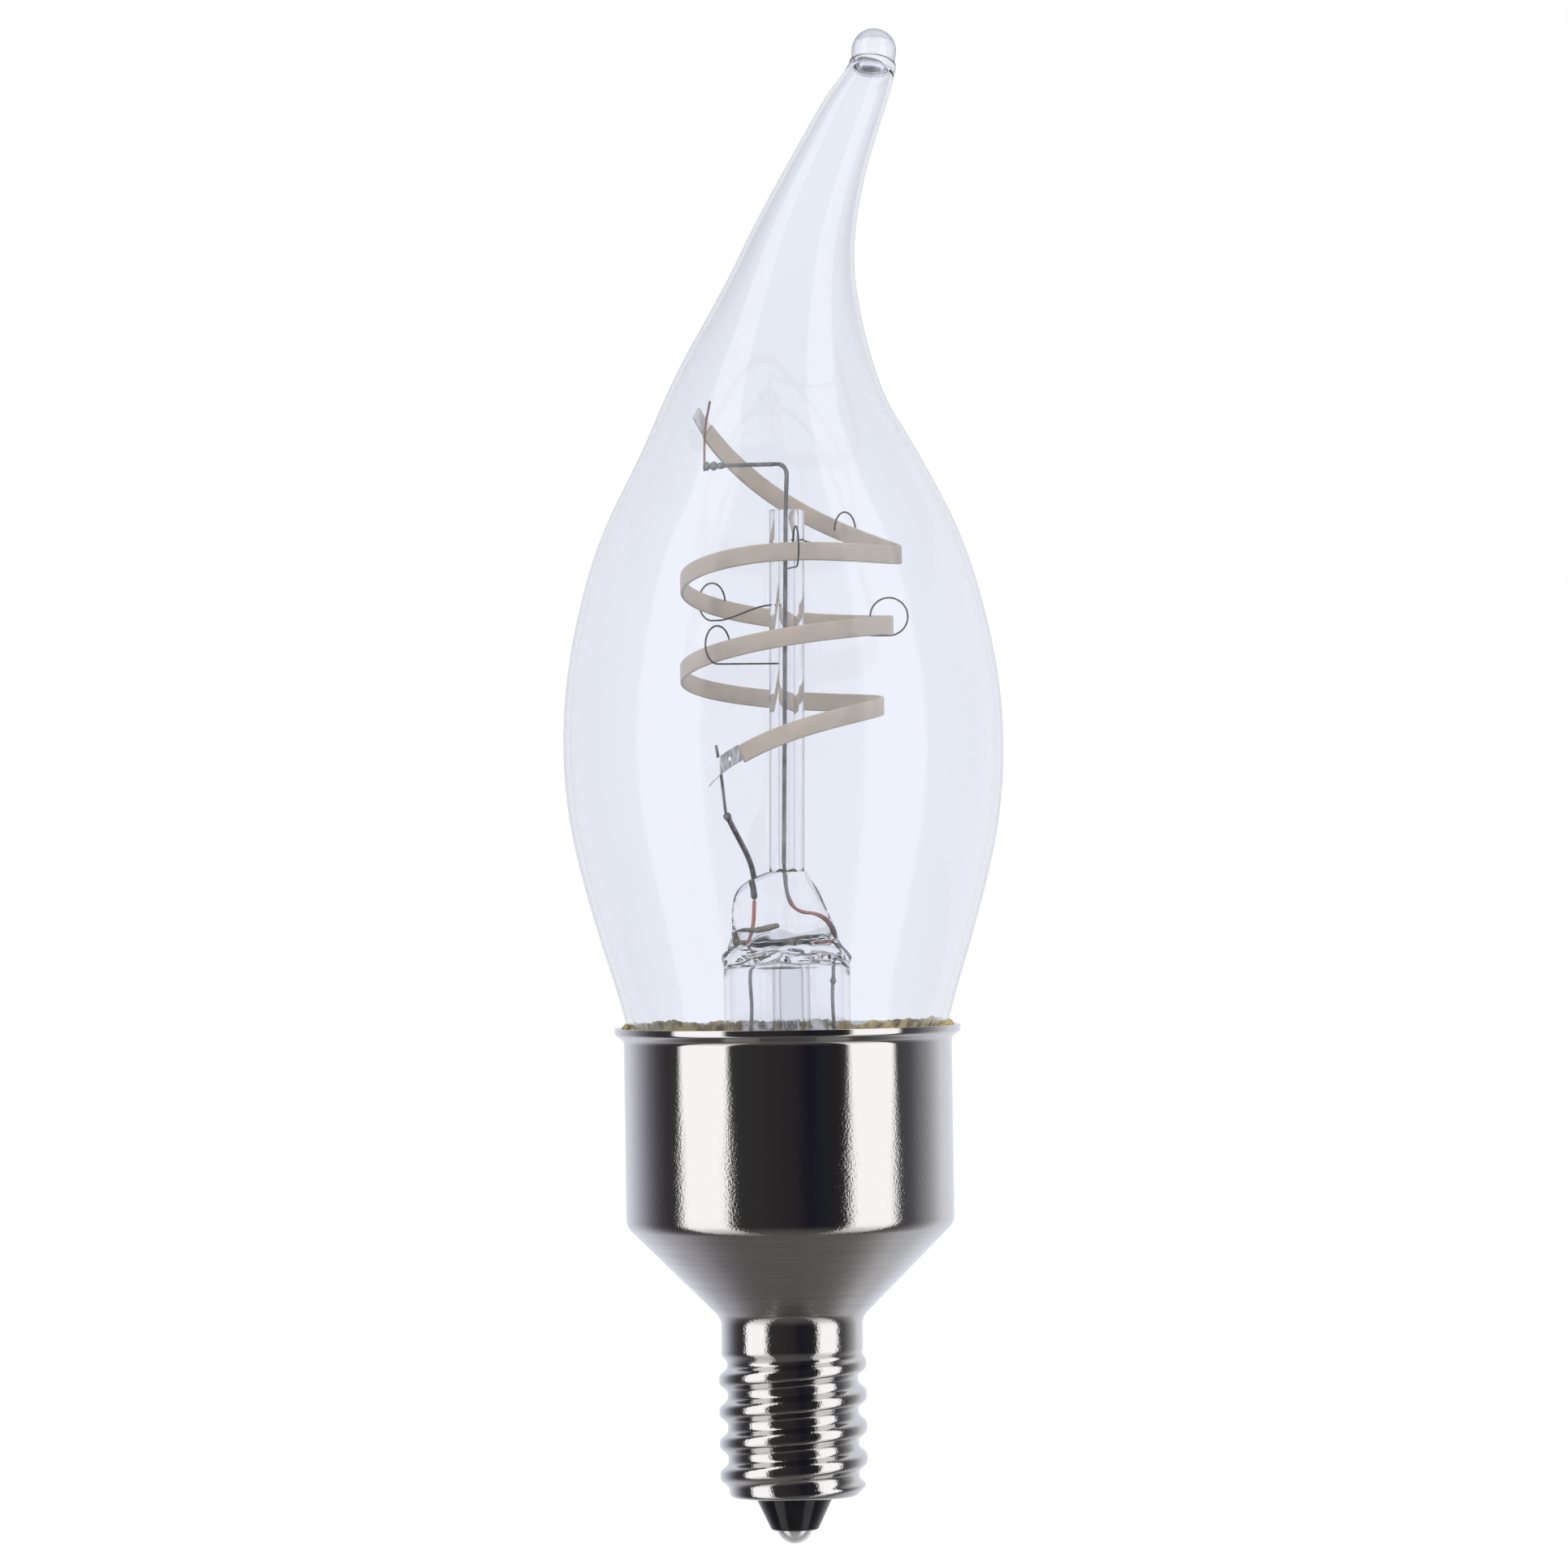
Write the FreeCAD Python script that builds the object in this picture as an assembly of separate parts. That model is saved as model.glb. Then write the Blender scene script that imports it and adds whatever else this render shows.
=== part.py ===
import FreeCAD, Part
import math
import os

# Candle bulb with an E12 screw base, in mm.
# The origin is the lowest point of the centre contact. Z runs up the axis of the base.
# X runs to the right as the bulb is photographed, and Y runs away from the camera.

# Centre contact and insulator
CONTACT_HEIGHT = 1.1
CONTACT_RADIUS = 1.42
SHANK_RADIUS = 0.5
SHANK_LENGTH = 2.1
CONE_HEIGHT = 2.65
CONE_LEDGE = 0.48
CONE_MARGIN = 1.05
CONE_CHAMFER = 0.15
FLANGE_HEIGHT = 1.55
FLANGE_CLEARANCE = 0.15

# Screw shell, one drawn sheet: thread, neck, cone, skirt and flared lip
SHEET = 0.3
THREAD_CREST = 5.87
THREAD_DEPTH = 0.67
THREAD_PITCH = 2.54
THREAD_LENGTH = 11.85
FIRST_CREST = 0.45
THREAD_FADE = 1.3
RIM_FADE = 1.1
RIM_STEP = 0.1
RIM_WIDTH = 0.9
BAND = 0.2
NECK_STEP = 0.25
NECK_LENGTH = 2.4
NECK_BEND = 1.4
SHOULDER_BEND = 2.5
SKIRT_LENGTH = 14.17
LIP_HEIGHT = 1.5
LIP_FLARE = 0.71
LIP_BEND = 1.2

# Glass envelope. Heights of the glass and of all it holds are measured from its lower rim.
GLASS_RADIUS = 17.5
GLASS_RIM_RADIUS = 11.6
GLASS_DEPTH = 7.6
SKIRT_GAP = 0.25
ENVELOPE_WALL = 0.7
SWELL = GLASS_RADIUS - GLASS_RIM_RADIUS
# Points of the centre line (x, y, height), each with the outer radius there
ENVELOPE_STATIONS = [
    (0.0, 0.0, 0.0, GLASS_RIM_RADIUS),
    (0.0, 0.0, 4.5, GLASS_RIM_RADIUS + 0.102 * SWELL),
    (0.0, 0.0, 8.5, GLASS_RIM_RADIUS + 0.229 * SWELL),
    (0.0, 0.0, 13.1, GLASS_RIM_RADIUS + 0.458 * SWELL),
    (0.0, 0.0, 18.0, GLASS_RIM_RADIUS + 0.698 * SWELL),
    (0.0, 0.0, 23.5, GLASS_RIM_RADIUS + 0.910 * SWELL),
    (0.0, 0.0, 29.5, GLASS_RADIUS),
    (0.0, 0.0, 35.5, 17.14),
    (0.0, 0.0, 41.5, 15.95),
    (0.0, 0.0, 47.5, 13.95),
    (-0.05, 0.0, 52.5, 11.44),
    (0.0, 0.0, 56.7, 9.30),
    (0.45, 0.0, 61.0, 7.34),
    (1.14, 0.0, 65.3, 5.61),
    (2.03, 0.0, 69.5, 4.33),
    (3.35, 0.1, 73.6, 3.44),
    (4.94, 0.45, 77.6, 2.79),
    (6.30, 1.0, 80.6, 2.42),
    (7.35, 1.65, 82.8, 2.08),
    (7.89, 2.1, 84.1, 1.89),
]
TIP_CAVITY_RADIUS = 1.25
BEAD_RADIUS = 1.78
BEAD_FOOT_RADIUS = 1.72
BEAD_CENTRE = (8.04, 2.65, 85.41)

# Cement ring between glass and skirt
CEMENT_START = 1.0
CEMENT_CROWN = 1.2
CROWN_WIDTH = 0.12
CROWN_EDGE = 0.4

# Stem: flared tube and flattened press
FLARE_RADIUS = 5.05
FLARE_WALL = 0.5
FLARE_LEDGE = 0.3
TRUMPET_HEIGHT = 2.5
LEDGE_BEND = 0.6
TRUMPET_BEND = 3.5
PRESS_START = 11.5
HOLLOW_TOP = 13.1
HOLLOW_HALF_WIDTH = 3.5
HOLLOW_MARGIN = 0.3

# Exhaust tube, sealed just below the rim
EXHAUST_X = 0.34
EXHAUST_RADIUS = 1.5
EXHAUST_WALL = 0.55
EXHAUST_TAPER = 1.1
EXHAUST_TIP = -1.3

# Support post, a glass tube that leans a little
POST_FOOT = (0.12, 0.0, 20.0)
POST_TOP = (0.54, 0.0, 48.7)
POST_RADIUS = 1.4
POST_BORE = 0.65
POST_MARGIN = 0.2

# Sections of the press: height, left edge, right edge, half thickness, squareness
PRESS_SECTIONS = [
    (12.8, 0.08 - FLARE_RADIUS, FLARE_RADIUS - 0.13, 4.1, 2.1),
    (13.8, -4.55, 4.50, 2.5, 2.3),
    (15.0, -4.34, 4.15, 1.65, 2.6),
    (16.9, -4.30, 3.40, 1.5, 2.8),
    (18.5, -3.90, 2.70, 1.5, 2.6),
    (19.5, -2.70, 1.95, 1.55, 2.3),
    (20.0, POST_FOOT[0] - POST_RADIUS - POST_MARGIN, POST_FOOT[0] + POST_RADIUS + POST_MARGIN,
     POST_RADIUS + POST_MARGIN / 2, 2.0),
]

# Filament strip: distance from the axis and height at each quarter turn, from the top down
STRIP_STATIONS = [
    (7.90, 61.30),
    (8.20, 49.74),
    (9.50, 45.02),
    (8.50, 45.16),
    (7.88, 42.82),
    (8.20, 40.12),
    (8.75, 39.45),
    (8.20, 38.44),
    (7.99, 35.72),
    (8.00, 33.66),
    (7.92, 33.03),
    (7.50, 30.82),
    (6.70, 24.80),
]
STRIP_HEIGHT = 1.45
STRIP_THICKNESS = 0.3
TERMINAL_HEIGHT = 1.25
TERMINAL_THICKNESS = 0.15
TERMINAL_HOLE = 0.2
# Angles along the strip, in degrees
STATION_START = 180
STATION_STEP = 90
STRIP_FROM = 137
STRIP_TO = -837
STRIP_STEP = 15
TERMINAL_UPPER_END = 148
TERMINAL_LOWER_END = -870
TERMINAL_HOLE_AT = -846
PIN_UPPER_AT = 142
PIN_LOWER_AT = -857

# Wire diameters, gaps and joints
LEAD_UPPER = 0.35
LEAD_LOWER = 0.45
PIN_UPPER = 0.2
PIN_LOWER = 0.25
SEAL_WIRE = 0.3
OUTER_LEAD = 0.3
SUPPORT_WIRE = 0.15
BOARD_WIRE = 0.5
GLASS_CLEARANCE = 0.02
WELD_GAP = 0.02
JOINT_GAP = 0.06
PIN_GAP = 0.1
KNOT_RADIUS = 0.32
KNOT_SPACING = 1.35
WELD_RADIUS = 0.26
SOLDER_RADIUS = 0.55

# Pins beside the strip: shift in x and y from the touching point, and height
PIN_LOWER_FOOT = 24.7
PIN_UPPER_ROUTE = [(0.45, 0.35, 57.7), (0.0, 0.0, 55.4), (-0.05, -0.25, 52.0)]
PIN_LOWER_ROUTE = [(-0.35, 0.25, 30.1), (0.0, 0.0, 28.1), (0.35, 0.1, PIN_LOWER_FOOT)]
PIN_BEND = 4.0

# Routes of the leads, with the heights of the joints along them
JOINT_UPPER = 20.5
JOINT_LOWER = 17.8
EXIT_UPPER = 13.5
EXIT_LOWER = 13.8
SEAL_UPPER_FALL = JOINT_UPPER - EXIT_UPPER
SEAL_LOWER_FALL = JOINT_LOWER - EXIT_LOWER
LEAD_LOWER_FALL = PIN_LOWER_FOOT - JOINT_LOWER
LEAD_UPPER_RISE = 0.4
LEAD_UPPER_ROUTE = [(-0.10, 0.0, JOINT_UPPER), (0.45, 0.0, 48.5), (0.62, 0.0, 52.35)]
SEAL_UPPER_ROUTE = [
    (-0.10, 0.0, JOINT_UPPER - WELD_GAP),
    (0.05, 0.0, EXIT_UPPER + 0.66 * SEAL_UPPER_FALL),
    (0.80, 0.0, EXIT_UPPER + 0.47 * SEAL_UPPER_FALL),
    (2.65, 0.0, EXIT_UPPER + 0.44 * SEAL_UPPER_FALL),
    (3.75, 0.0, EXIT_UPPER + 0.20 * SEAL_UPPER_FALL),
    (3.95, 0.0, EXIT_UPPER),
]
WELD_UPPER = (3.66, 0.0, 11.17)
OUTER_UPPER_ROUTE = [
    (3.95, 0.0, EXIT_UPPER - JOINT_GAP),
    WELD_UPPER,
    (3.60, 0.0, 9.9),
    (3.71, 0.0, 7.5),
    (4.2, 0.0, 3.5),
]
LEAD_LOWER_ROUTE = [
    (-3.95, -3.5, JOINT_LOWER + 0.80 * LEAD_LOWER_FALL),
    (-2.80, -0.9, JOINT_LOWER + 0.46 * LEAD_LOWER_FALL),
    (-2.47, 0.0, JOINT_LOWER + 0.25 * LEAD_LOWER_FALL),
    (-2.42, 0.0, JOINT_LOWER),
]
SEAL_LOWER_ROUTE = [
    (-2.42, 0.0, JOINT_LOWER - WELD_GAP),
    (-2.55, 0.0, EXIT_LOWER + 0.41 * SEAL_LOWER_FALL),
    (-3.0, 0.0, EXIT_LOWER),
]
OUTER_LOWER_ROUTE = [
    (-3.0, 0.0, EXIT_LOWER - JOINT_GAP),
    (-2.93, 0.0, 11.2),
    (-2.77, 0.0, 8.5),
    (-3.4, 0.0, 4.5),
]
LEAD_UPPER_BEND = 0.9
LEAD_LOWER_BEND = 1.5
SEAL_BEND = 0.7
OUTER_BEND = 1.0

# Support wires: angle along the strip, height at the post, shift of the loop from the strip,
# slack under the strip, loop radius
SUPPORTS = [
    (55, 46.30, 0.35, 0.57, 1.5),
    (-82, 43.99, 0.0, 0.42, 1.6),
    (-225, 41.15, -0.05, 0.41, 1.5),
    (-360, 39.10, -0.20, 0.06, 1.5),
    (-489, 36.48, 0.0, 0.11, 1.5),
]
SUPPORT_EMBED = 0.2
SUPPORT_FIRST_RUN = 1.2
SUPPORT_BEND = 3.0
LOOP_LEAD_IN = 1.6
LOOP_TURN = 275

# Insulating sleeve and driver board
SLEEVE_CLEARANCE = 0.1
SLEEVE_WALL = 0.68
SLEEVE_DROP = 0.6
BOARD_THICKNESS = 1.0
BOARD_CLEARANCE = 0.12
BOARD_LIFT = 2.4
BOARD_MARGIN = 3.75
BOARD_BELOW_TIP = 1.7
TONGUE_RISE = 1.6
SHOULDER_DROP = 0.43

# Parts on the board
CAPACITOR_RADIUS = 3.1
CAPACITOR_LENGTH = 7.4
CAPACITOR_PINS = 1.25
CAPACITOR_EDGE = 0.3
FILM_SIZE = (4.4, 3.0, 5.0)
FILM_INSET = 3.6
PART_GAP = 0.7
RESISTOR_RADIUS = 1.2
RESISTOR_LENGTH = 6.0
RESISTOR_RISE = 2.4
PART_DROP = 0.9
PART_EDGE = 0.4
PIN_LENGTH = 1.0
PIN_INSIDE = 0.2
CHIP_DROP = 6.5
CHIP_X = 3.4
RECTIFIER_SIZE = (4.0, 1.2, 4.6)
RECTIFIER_LEGS = 2
CHIP_SIZE = (3.9, 1.4, 4.9)
CHIP_LEGS = 4
CHIP_LIFT = 0.15
LEG_WIDTH = 0.4
LEG_THICKNESS = 0.25
LEG_INSIDE = 0.2
LEG_REACH = 0.5
LEG_HEIGHT = 0.9
TOE_LENGTH = 0.5

# Places where wires meet the board and the skirt
PAD_DROP = 1.6
PAD_TAIL = 0.3
PAD_UPPER_INSET = 3.1
PAD_LOWER_INSET = 3.4
LEAD_ABOVE_BOARD = 1.5
CONTACT_PAD_X = 0.8
CONTACT_PAD_RISE = 1.9
CONTACT_WIRE_RISE = 0.6
SHELL_PAD_INSET = 0.7
SHELL_PAD_DROP = 4.2
SHELL_JOINT_DROP = 1.1
SHELL_JOINT_RADIUS = 0.8
SHELL_WIRE_RISE = 1.9
BOARD_WIRE_BEND = 0.8

def envelope_radius(height):
    """Outer radius of the glass, by straight lines between its stations."""
    for low, high in zip(ENVELOPE_STATIONS, ENVELOPE_STATIONS[1:]):
        if low[2] <= height <= high[2]:
            share = (height - low[2]) / (high[2] - low[2])
            return low[3] + share * (high[3] - low[3])


# Heights and radii that follow from the values above
CONE_FOOT = CONTACT_HEIGHT
THREAD_BOTTOM = CONE_FOOT + CONE_HEIGHT
RIM_TOP = THREAD_BOTTOM + SHEET
INSULATOR_TOP = RIM_TOP + FLANGE_HEIGHT
SHANK_TOP = CONE_FOOT + SHANK_LENGTH
THREAD_TOP = THREAD_BOTTOM + THREAD_LENGTH
THREAD_ROOT = THREAD_CREST - THREAD_DEPTH
RIM_OPENING = THREAD_ROOT - RIM_WIDTH
CONE_WIDE = RIM_OPENING - CONE_MARGIN
CONE_NARROW = CONTACT_RADIUS + CONE_LEDGE
FLANGE_RADIUS = THREAD_ROOT - SHEET - FLANGE_CLEARANCE
NECK_RADIUS = THREAD_CREST - NECK_STEP
NECK_TOP = THREAD_TOP + NECK_LENGTH
SKIRT_BORE = envelope_radius(GLASS_DEPTH - LIP_HEIGHT) + SKIRT_GAP
SKIRT_RADIUS = SKIRT_BORE + SHEET
CONE_TOP = NECK_TOP + SKIRT_RADIUS - NECK_RADIUS
LIP_FOOT = CONE_TOP + SKIRT_LENGTH
LIP_TOP = LIP_FOOT + LIP_HEIGHT
LIP_RADIUS = SKIRT_RADIUS + LIP_FLARE
GLASS_RIM = LIP_TOP - GLASS_DEPTH
SLEEVE_RADIUS = THREAD_ROOT - SHEET - SLEEVE_CLEARANCE
SLEEVE_BORE = SLEEVE_RADIUS - SLEEVE_WALL
TONGUE_HALF_WIDTH = SLEEVE_BORE - BOARD_CLEARANCE
BOARD_HALF_WIDTH = SKIRT_BORE - BOARD_MARGIN
FILM_X = BOARD_HALF_WIDTH - FILM_INSET
CAPACITOR_X = FILM_X - FILM_SIZE[0] / 2 - PART_GAP - CAPACITOR_RADIUS
PAD_UPPER_X = BOARD_HALF_WIDTH - PAD_UPPER_INSET
PAD_LOWER_X = PAD_LOWER_INSET - BOARD_HALF_WIDTH
BOARD_FOOT = INSULATOR_TOP + BOARD_LIFT
BOARD_TOP_FROM_RIM = EXHAUST_TIP - BOARD_BELOW_TIP
BOARD_TOP = GLASS_RIM + BOARD_TOP_FROM_RIM
BOARD_BACK = BOARD_THICKNESS / 2
BOARD_FRONT = -BOARD_BACK


def point(x, y, z):
    return FreeCAD.Vector(x, y, z)


def in_section(radius, z):
    return point(radius, 0, z)


def rounded_path(corners, bends):
    """Straight runs joined by tangent arcs, one bend radius for each inner corner."""
    edges = []
    start = corners[0]
    for index, corner in enumerate(corners[1:-1]):
        back = corners[index] - corner
        ahead = corners[index + 2] - corner
        longest = 0.45 * min(back.Length, ahead.Length)
        back.normalize()
        ahead.normalize()
        half_angle = back.getAngle(ahead) / 2
        reach = min(bends[index] / math.tan(half_angle), longest)
        radius = reach * math.tan(half_angle)
        middle_way = back + ahead
        middle_way.normalize()
        first = corner + back * reach
        last = corner + ahead * reach
        middle = corner + middle_way * (radius / math.sin(half_angle) - radius)
        edges.append(Part.makeLine(start, first))
        edges.append(Part.Arc(first, middle, last).toShape())
        start = last
    edges.append(Part.makeLine(start, corners[-1]))
    return edges


def swept_edges(edges, start, direction, diameter):
    ring = Part.Wire(Part.makeCircle(diameter / 2, start, direction))
    return Part.Wire(edges).makePipeShell([ring], True, False)


def swept_wire(corners, diameter, bend):
    """Round wire along straight runs with equal bends."""
    edges = rounded_path(corners, [bend] * (len(corners) - 2))
    return swept_edges(edges, corners[0], corners[1] - corners[0], diameter)


def points(route):
    return [point(*place) for place in route]


def ball(centre, radius):
    return Part.makeSphere(radius, centre)


def box(x0, x1, y0, y1, z0, z1):
    """Box between two values of each direction, given in either order."""
    corner = point(min(x0, x1), min(y0, y1), min(z0, z1))
    return Part.makeBox(abs(x1 - x0), abs(y1 - y0), abs(z1 - z0), corner)


def turned(corners):
    """Solid of revolution about Z from closed corners of radius and height."""
    loop = [in_section(radius, z) for radius, z in corners]
    loop.append(loop[0])
    face = Part.Face(Part.makePolygon(loop))
    return face.revolve(point(0, 0, 0), point(0, 0, 1), 360)


def turned_faces(edges):
    faces = []
    for edge in edges:
        faces += edge.revolve(point(0, 0, 0), point(0, 0, 1), 360).Faces
    return faces


def sheet_edges(corners, bends, wall):
    """Section of a sheet of even thickness, open at its first end.

    The corners follow its outer side upwards.
    """
    runs = []
    for first, second in zip(corners, corners[1:]):
        run = in_section(*second) - in_section(*first)
        runs.append(run.normalize())
    sides = [point(-run.z, 0, run.x) for run in runs]
    outer = [in_section(*corner) for corner in corners]
    inner = [outer[0] + sides[0] * wall]
    inner_bends = []
    for index, bend in enumerate(bends):
        first, second = sides[index], sides[index + 1]
        mitre = (first + second) * (wall / (1 + first.dot(second)))
        inner.append(outer[index + 1] + mitre)
        turns_out = runs[index].x < runs[index + 1].x
        inner_bends.append(bend + wall if turns_out else bend - wall)
    inner.append(outer[-1] + sides[-1] * wall)
    edges = rounded_path(outer, bends)
    edges += rounded_path(inner, inner_bends)
    edges.append(Part.makeLine(outer[-1], inner[-1]))
    return edges, outer[0], inner[0]


def turned_sheet(corners, bends, wall):
    edges, outer_start, inner_start = sheet_edges(corners, bends, wall)
    edges.append(Part.makeLine(outer_start, inner_start))
    face = Part.Face(Part.Wire(Part.__sortEdges__(edges)))
    return face.revolve(point(0, 0, 0), point(0, 0, 1), 360)


def facing_out(solid):
    """The solid with its faces turned to the outside."""
    if solid.Volume < 0:
        solid.reverse()
    return solid


def closed_curve(places):
    curve = Part.BSplineCurve()
    curve.interpolate(places, PeriodicFlag=True)
    return Part.Wire(curve.toShape())


def smooth_step(value):
    value = min(max(value, 0.0), 1.0)
    return value * value * (3 - 2 * value)


# Glass envelope
def envelope_solid(inset):
    """Loft of rings square to the centre line, with radii reduced by the inset."""
    centres = points(station[:3] for station in ENVELOPE_STATIONS)
    line = Part.BSplineCurve()
    line.interpolate(centres)
    rings = []
    for centre, station in zip(centres, ENVELOPE_STATIONS):
        heading = point(*line.tangent(line.parameter(centre))[0])
        if station[0] == 0 and station[1] == 0:
            heading = point(0, 0, 1)
        radius = station[3] - inset
        if inset:
            radius = max(radius, TIP_CAVITY_RADIUS)
        rings.append(Part.Wire(Part.makeCircle(radius, centre, heading)))
    if inset:
        rings = rings[:-1]
    return Part.makeLoft(rings, True, False)


def bead():
    centre = point(*BEAD_CENTRE)
    foot = point(*ENVELOPE_STATIONS[-1][:3])
    up = centre - foot
    start = foot - up * 0.4
    neck = Part.makeCone(BEAD_FOOT_RADIUS, BEAD_RADIUS, up.Length * 1.4, start, up)
    return neck.fuse(ball(centre, BEAD_RADIUS))


def glass_envelope():
    outer = envelope_solid(0)
    inner = envelope_solid(ENVELOPE_WALL)
    return outer.fuse(bead()).cut(inner)


# Screw shell
def thread_radius(angle, z):
    """Radius of the rolled sheet. The ridges fade into the neck and into the lower rim."""
    mean = (THREAD_CREST + THREAD_ROOT) / 2
    depth = THREAD_DEPTH / 2
    above_rim = smooth_step((z - THREAD_BOTTOM) / RIM_FADE)
    into_neck = smooth_step((z - THREAD_TOP + THREAD_FADE) / THREAD_FADE)
    base = mean + (NECK_RADIUS - mean) * into_neck
    base += (THREAD_ROOT - RIM_STEP - mean) * (1 - above_rim)
    turn = (z - THREAD_BOTTOM - FIRST_CREST) / THREAD_PITCH - angle / (2 * math.pi)
    return base + depth * above_rim * (1 - into_neck) * math.cos(2 * math.pi * turn)


def thread_face(inset, bottom):
    """Rolled thread surface from the bottom up to the neck, reduced by the inset."""
    levels = round((THREAD_TOP - bottom) / (THREAD_PITCH / 10))
    rows = []
    for level in range(levels + 1):
        z = bottom + (THREAD_TOP - bottom) * level / levels
        row = []
        for column in range(25):
            angle = 2 * math.pi * (column % 24) / 24
            radius = thread_radius(angle, z) - inset
            row.append(point(radius * math.cos(angle), radius * math.sin(angle), z))
        rows.append(row)
    surface = Part.BSplineSurface()
    surface.interpolate(rows)
    return surface.toShape()


def band_to_ring(face, z, radius, ring_z):
    """Face between the end of a thread surface and a true circle."""
    ends = [edge for edge in face.Edges if edge.isClosed()]
    end = min(ends, key=lambda edge: abs(edge.BoundBox.ZMax - z))
    return Part.makeRuledSurface(end, Part.makeCircle(radius, point(0, 0, ring_z)))


def shell_corners():
    corners = [
        (NECK_RADIUS, THREAD_TOP + BAND),
        (NECK_RADIUS, NECK_TOP),
        (SKIRT_RADIUS, CONE_TOP),
        (SKIRT_RADIUS, LIP_FOOT),
        (LIP_RADIUS, LIP_TOP),
    ]
    return corners, [NECK_BEND, SHOULDER_BEND, LIP_BEND]


def screw_shell():
    """Thread inside and out, the lower rim and the turned upper part, sewn into one sheet."""
    corners, bends = shell_corners()
    outside = thread_face(0, THREAD_BOTTOM)
    inside = thread_face(SHEET, RIM_TOP)
    rim = Part.makeLine(in_section(RIM_OPENING, THREAD_BOTTOM), in_section(RIM_OPENING, RIM_TOP))
    faces = [
        outside,
        inside,
        band_to_ring(outside, THREAD_BOTTOM, RIM_OPENING, THREAD_BOTTOM),
        band_to_ring(inside, RIM_TOP, RIM_OPENING, RIM_TOP),
        band_to_ring(outside, THREAD_TOP, NECK_RADIUS, corners[0][1]),
        band_to_ring(inside, THREAD_TOP, NECK_RADIUS - SHEET, corners[0][1]),
    ]
    faces += turned_faces([rim] + sheet_edges(corners, bends, SHEET)[0])
    sheet = Part.makeShell(faces)
    sheet.sewShape()
    return facing_out(Part.makeSolid(sheet))


# Cement between glass and shell
def basing_cement():
    inside = GLASS_RIM_RADIUS - ENVELOPE_WALL
    bottom = GLASS_RIM + CEMENT_START
    top = LIP_TOP + CEMENT_CROWN
    ring = turned([
        (inside, bottom),
        (SKIRT_BORE, bottom),
        (SKIRT_BORE, LIP_FOOT),
        (LIP_RADIUS - SHEET / 2, LIP_TOP),
        (LIP_RADIUS - CROWN_EDGE, LIP_TOP + CROWN_EDGE),
        (envelope_radius(GLASS_DEPTH + CEMENT_CROWN) + CROWN_WIDTH, top),
        (inside, top),
    ])
    glass = envelope_solid(0)
    glass.translate(point(0, 0, GLASS_RIM))
    return ring.cut(glass).cut(turned_sheet(*shell_corners(), SHEET))


# Insulator and contact
def base_insulator():
    return turned([
        (SHANK_RADIUS, INSULATOR_TOP),
        (FLANGE_RADIUS, INSULATOR_TOP),
        (FLANGE_RADIUS, RIM_TOP),
        (CONE_WIDE, RIM_TOP),
        (CONE_NARROW, CONE_FOOT + CONE_CHAMFER),
        (CONE_NARROW - CONE_CHAMFER, CONE_FOOT),
        (SHANK_RADIUS, CONE_FOOT),
    ])


def centre_contact():
    dome_radius = (CONTACT_RADIUS ** 2 + CONTACT_HEIGHT ** 2) / (2 * CONTACT_HEIGHT)
    dome = ball(point(0, 0, dome_radius), dome_radius)
    dome = dome.common(Part.makeCylinder(2 * CONTACT_RADIUS, CONTACT_HEIGHT))
    shank_foot = CONTACT_HEIGHT / 2
    shank = Part.makeCylinder(SHANK_RADIUS, SHANK_TOP - shank_foot, point(0, 0, shank_foot))
    return dome.fuse(shank)


# Stem
def flattened_ring(z, left, right, half_depth, squareness):
    middle = (left + right) / 2
    half_width = (right - left) / 2
    ring = []
    for step in range(24):
        angle = 2 * math.pi * step / 24
        across = math.cos(angle)
        along = math.sin(angle)
        x = middle + half_width * math.copysign(abs(across) ** (2 / squareness), across)
        y = half_depth * math.copysign(abs(along) ** (2 / squareness), along)
        ring.append(point(x, y, z))
    return closed_curve(ring)


def stem_flare():
    ledge = GLASS_RIM_RADIUS - ENVELOPE_WALL - FLARE_LEDGE
    corners = [
        (GLASS_RIM_RADIUS, 0),
        (ledge, 0),
        (FLARE_RADIUS, TRUMPET_HEIGHT),
        (FLARE_RADIUS, PRESS_START),
    ]
    flare = turned_sheet(corners, [LEDGE_BEND, TRUMPET_BEND], FLARE_WALL)
    shoulder = Part.Wire(Part.makeCircle(FLARE_RADIUS, point(0, 0, PRESS_START)))
    sections = [flattened_ring(*section) for section in PRESS_SECTIONS]
    press = Part.makeLoft([shoulder] + sections, True, False)
    bore = FLARE_RADIUS - FLARE_WALL
    half_depth = EXHAUST_RADIUS + HOLLOW_MARGIN
    hollow = Part.makeLoft([
        Part.Wire(Part.makeCircle(bore, point(0, 0, PRESS_START))),
        flattened_ring(PRESS_START + 0.5, 0.1 - bore, bore - 0.1, bore - HOLLOW_MARGIN, 2.0),
        flattened_ring(HOLLOW_TOP, -HOLLOW_HALF_WIDTH, HOLLOW_HALF_WIDTH, half_depth, 2.0),
    ], True, False)
    glass = flare.fuse(press.cut(hollow))
    for channel in wires_in_press(2 * GLASS_CLEARANCE):
        glass = glass.cut(channel)
    return glass


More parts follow.
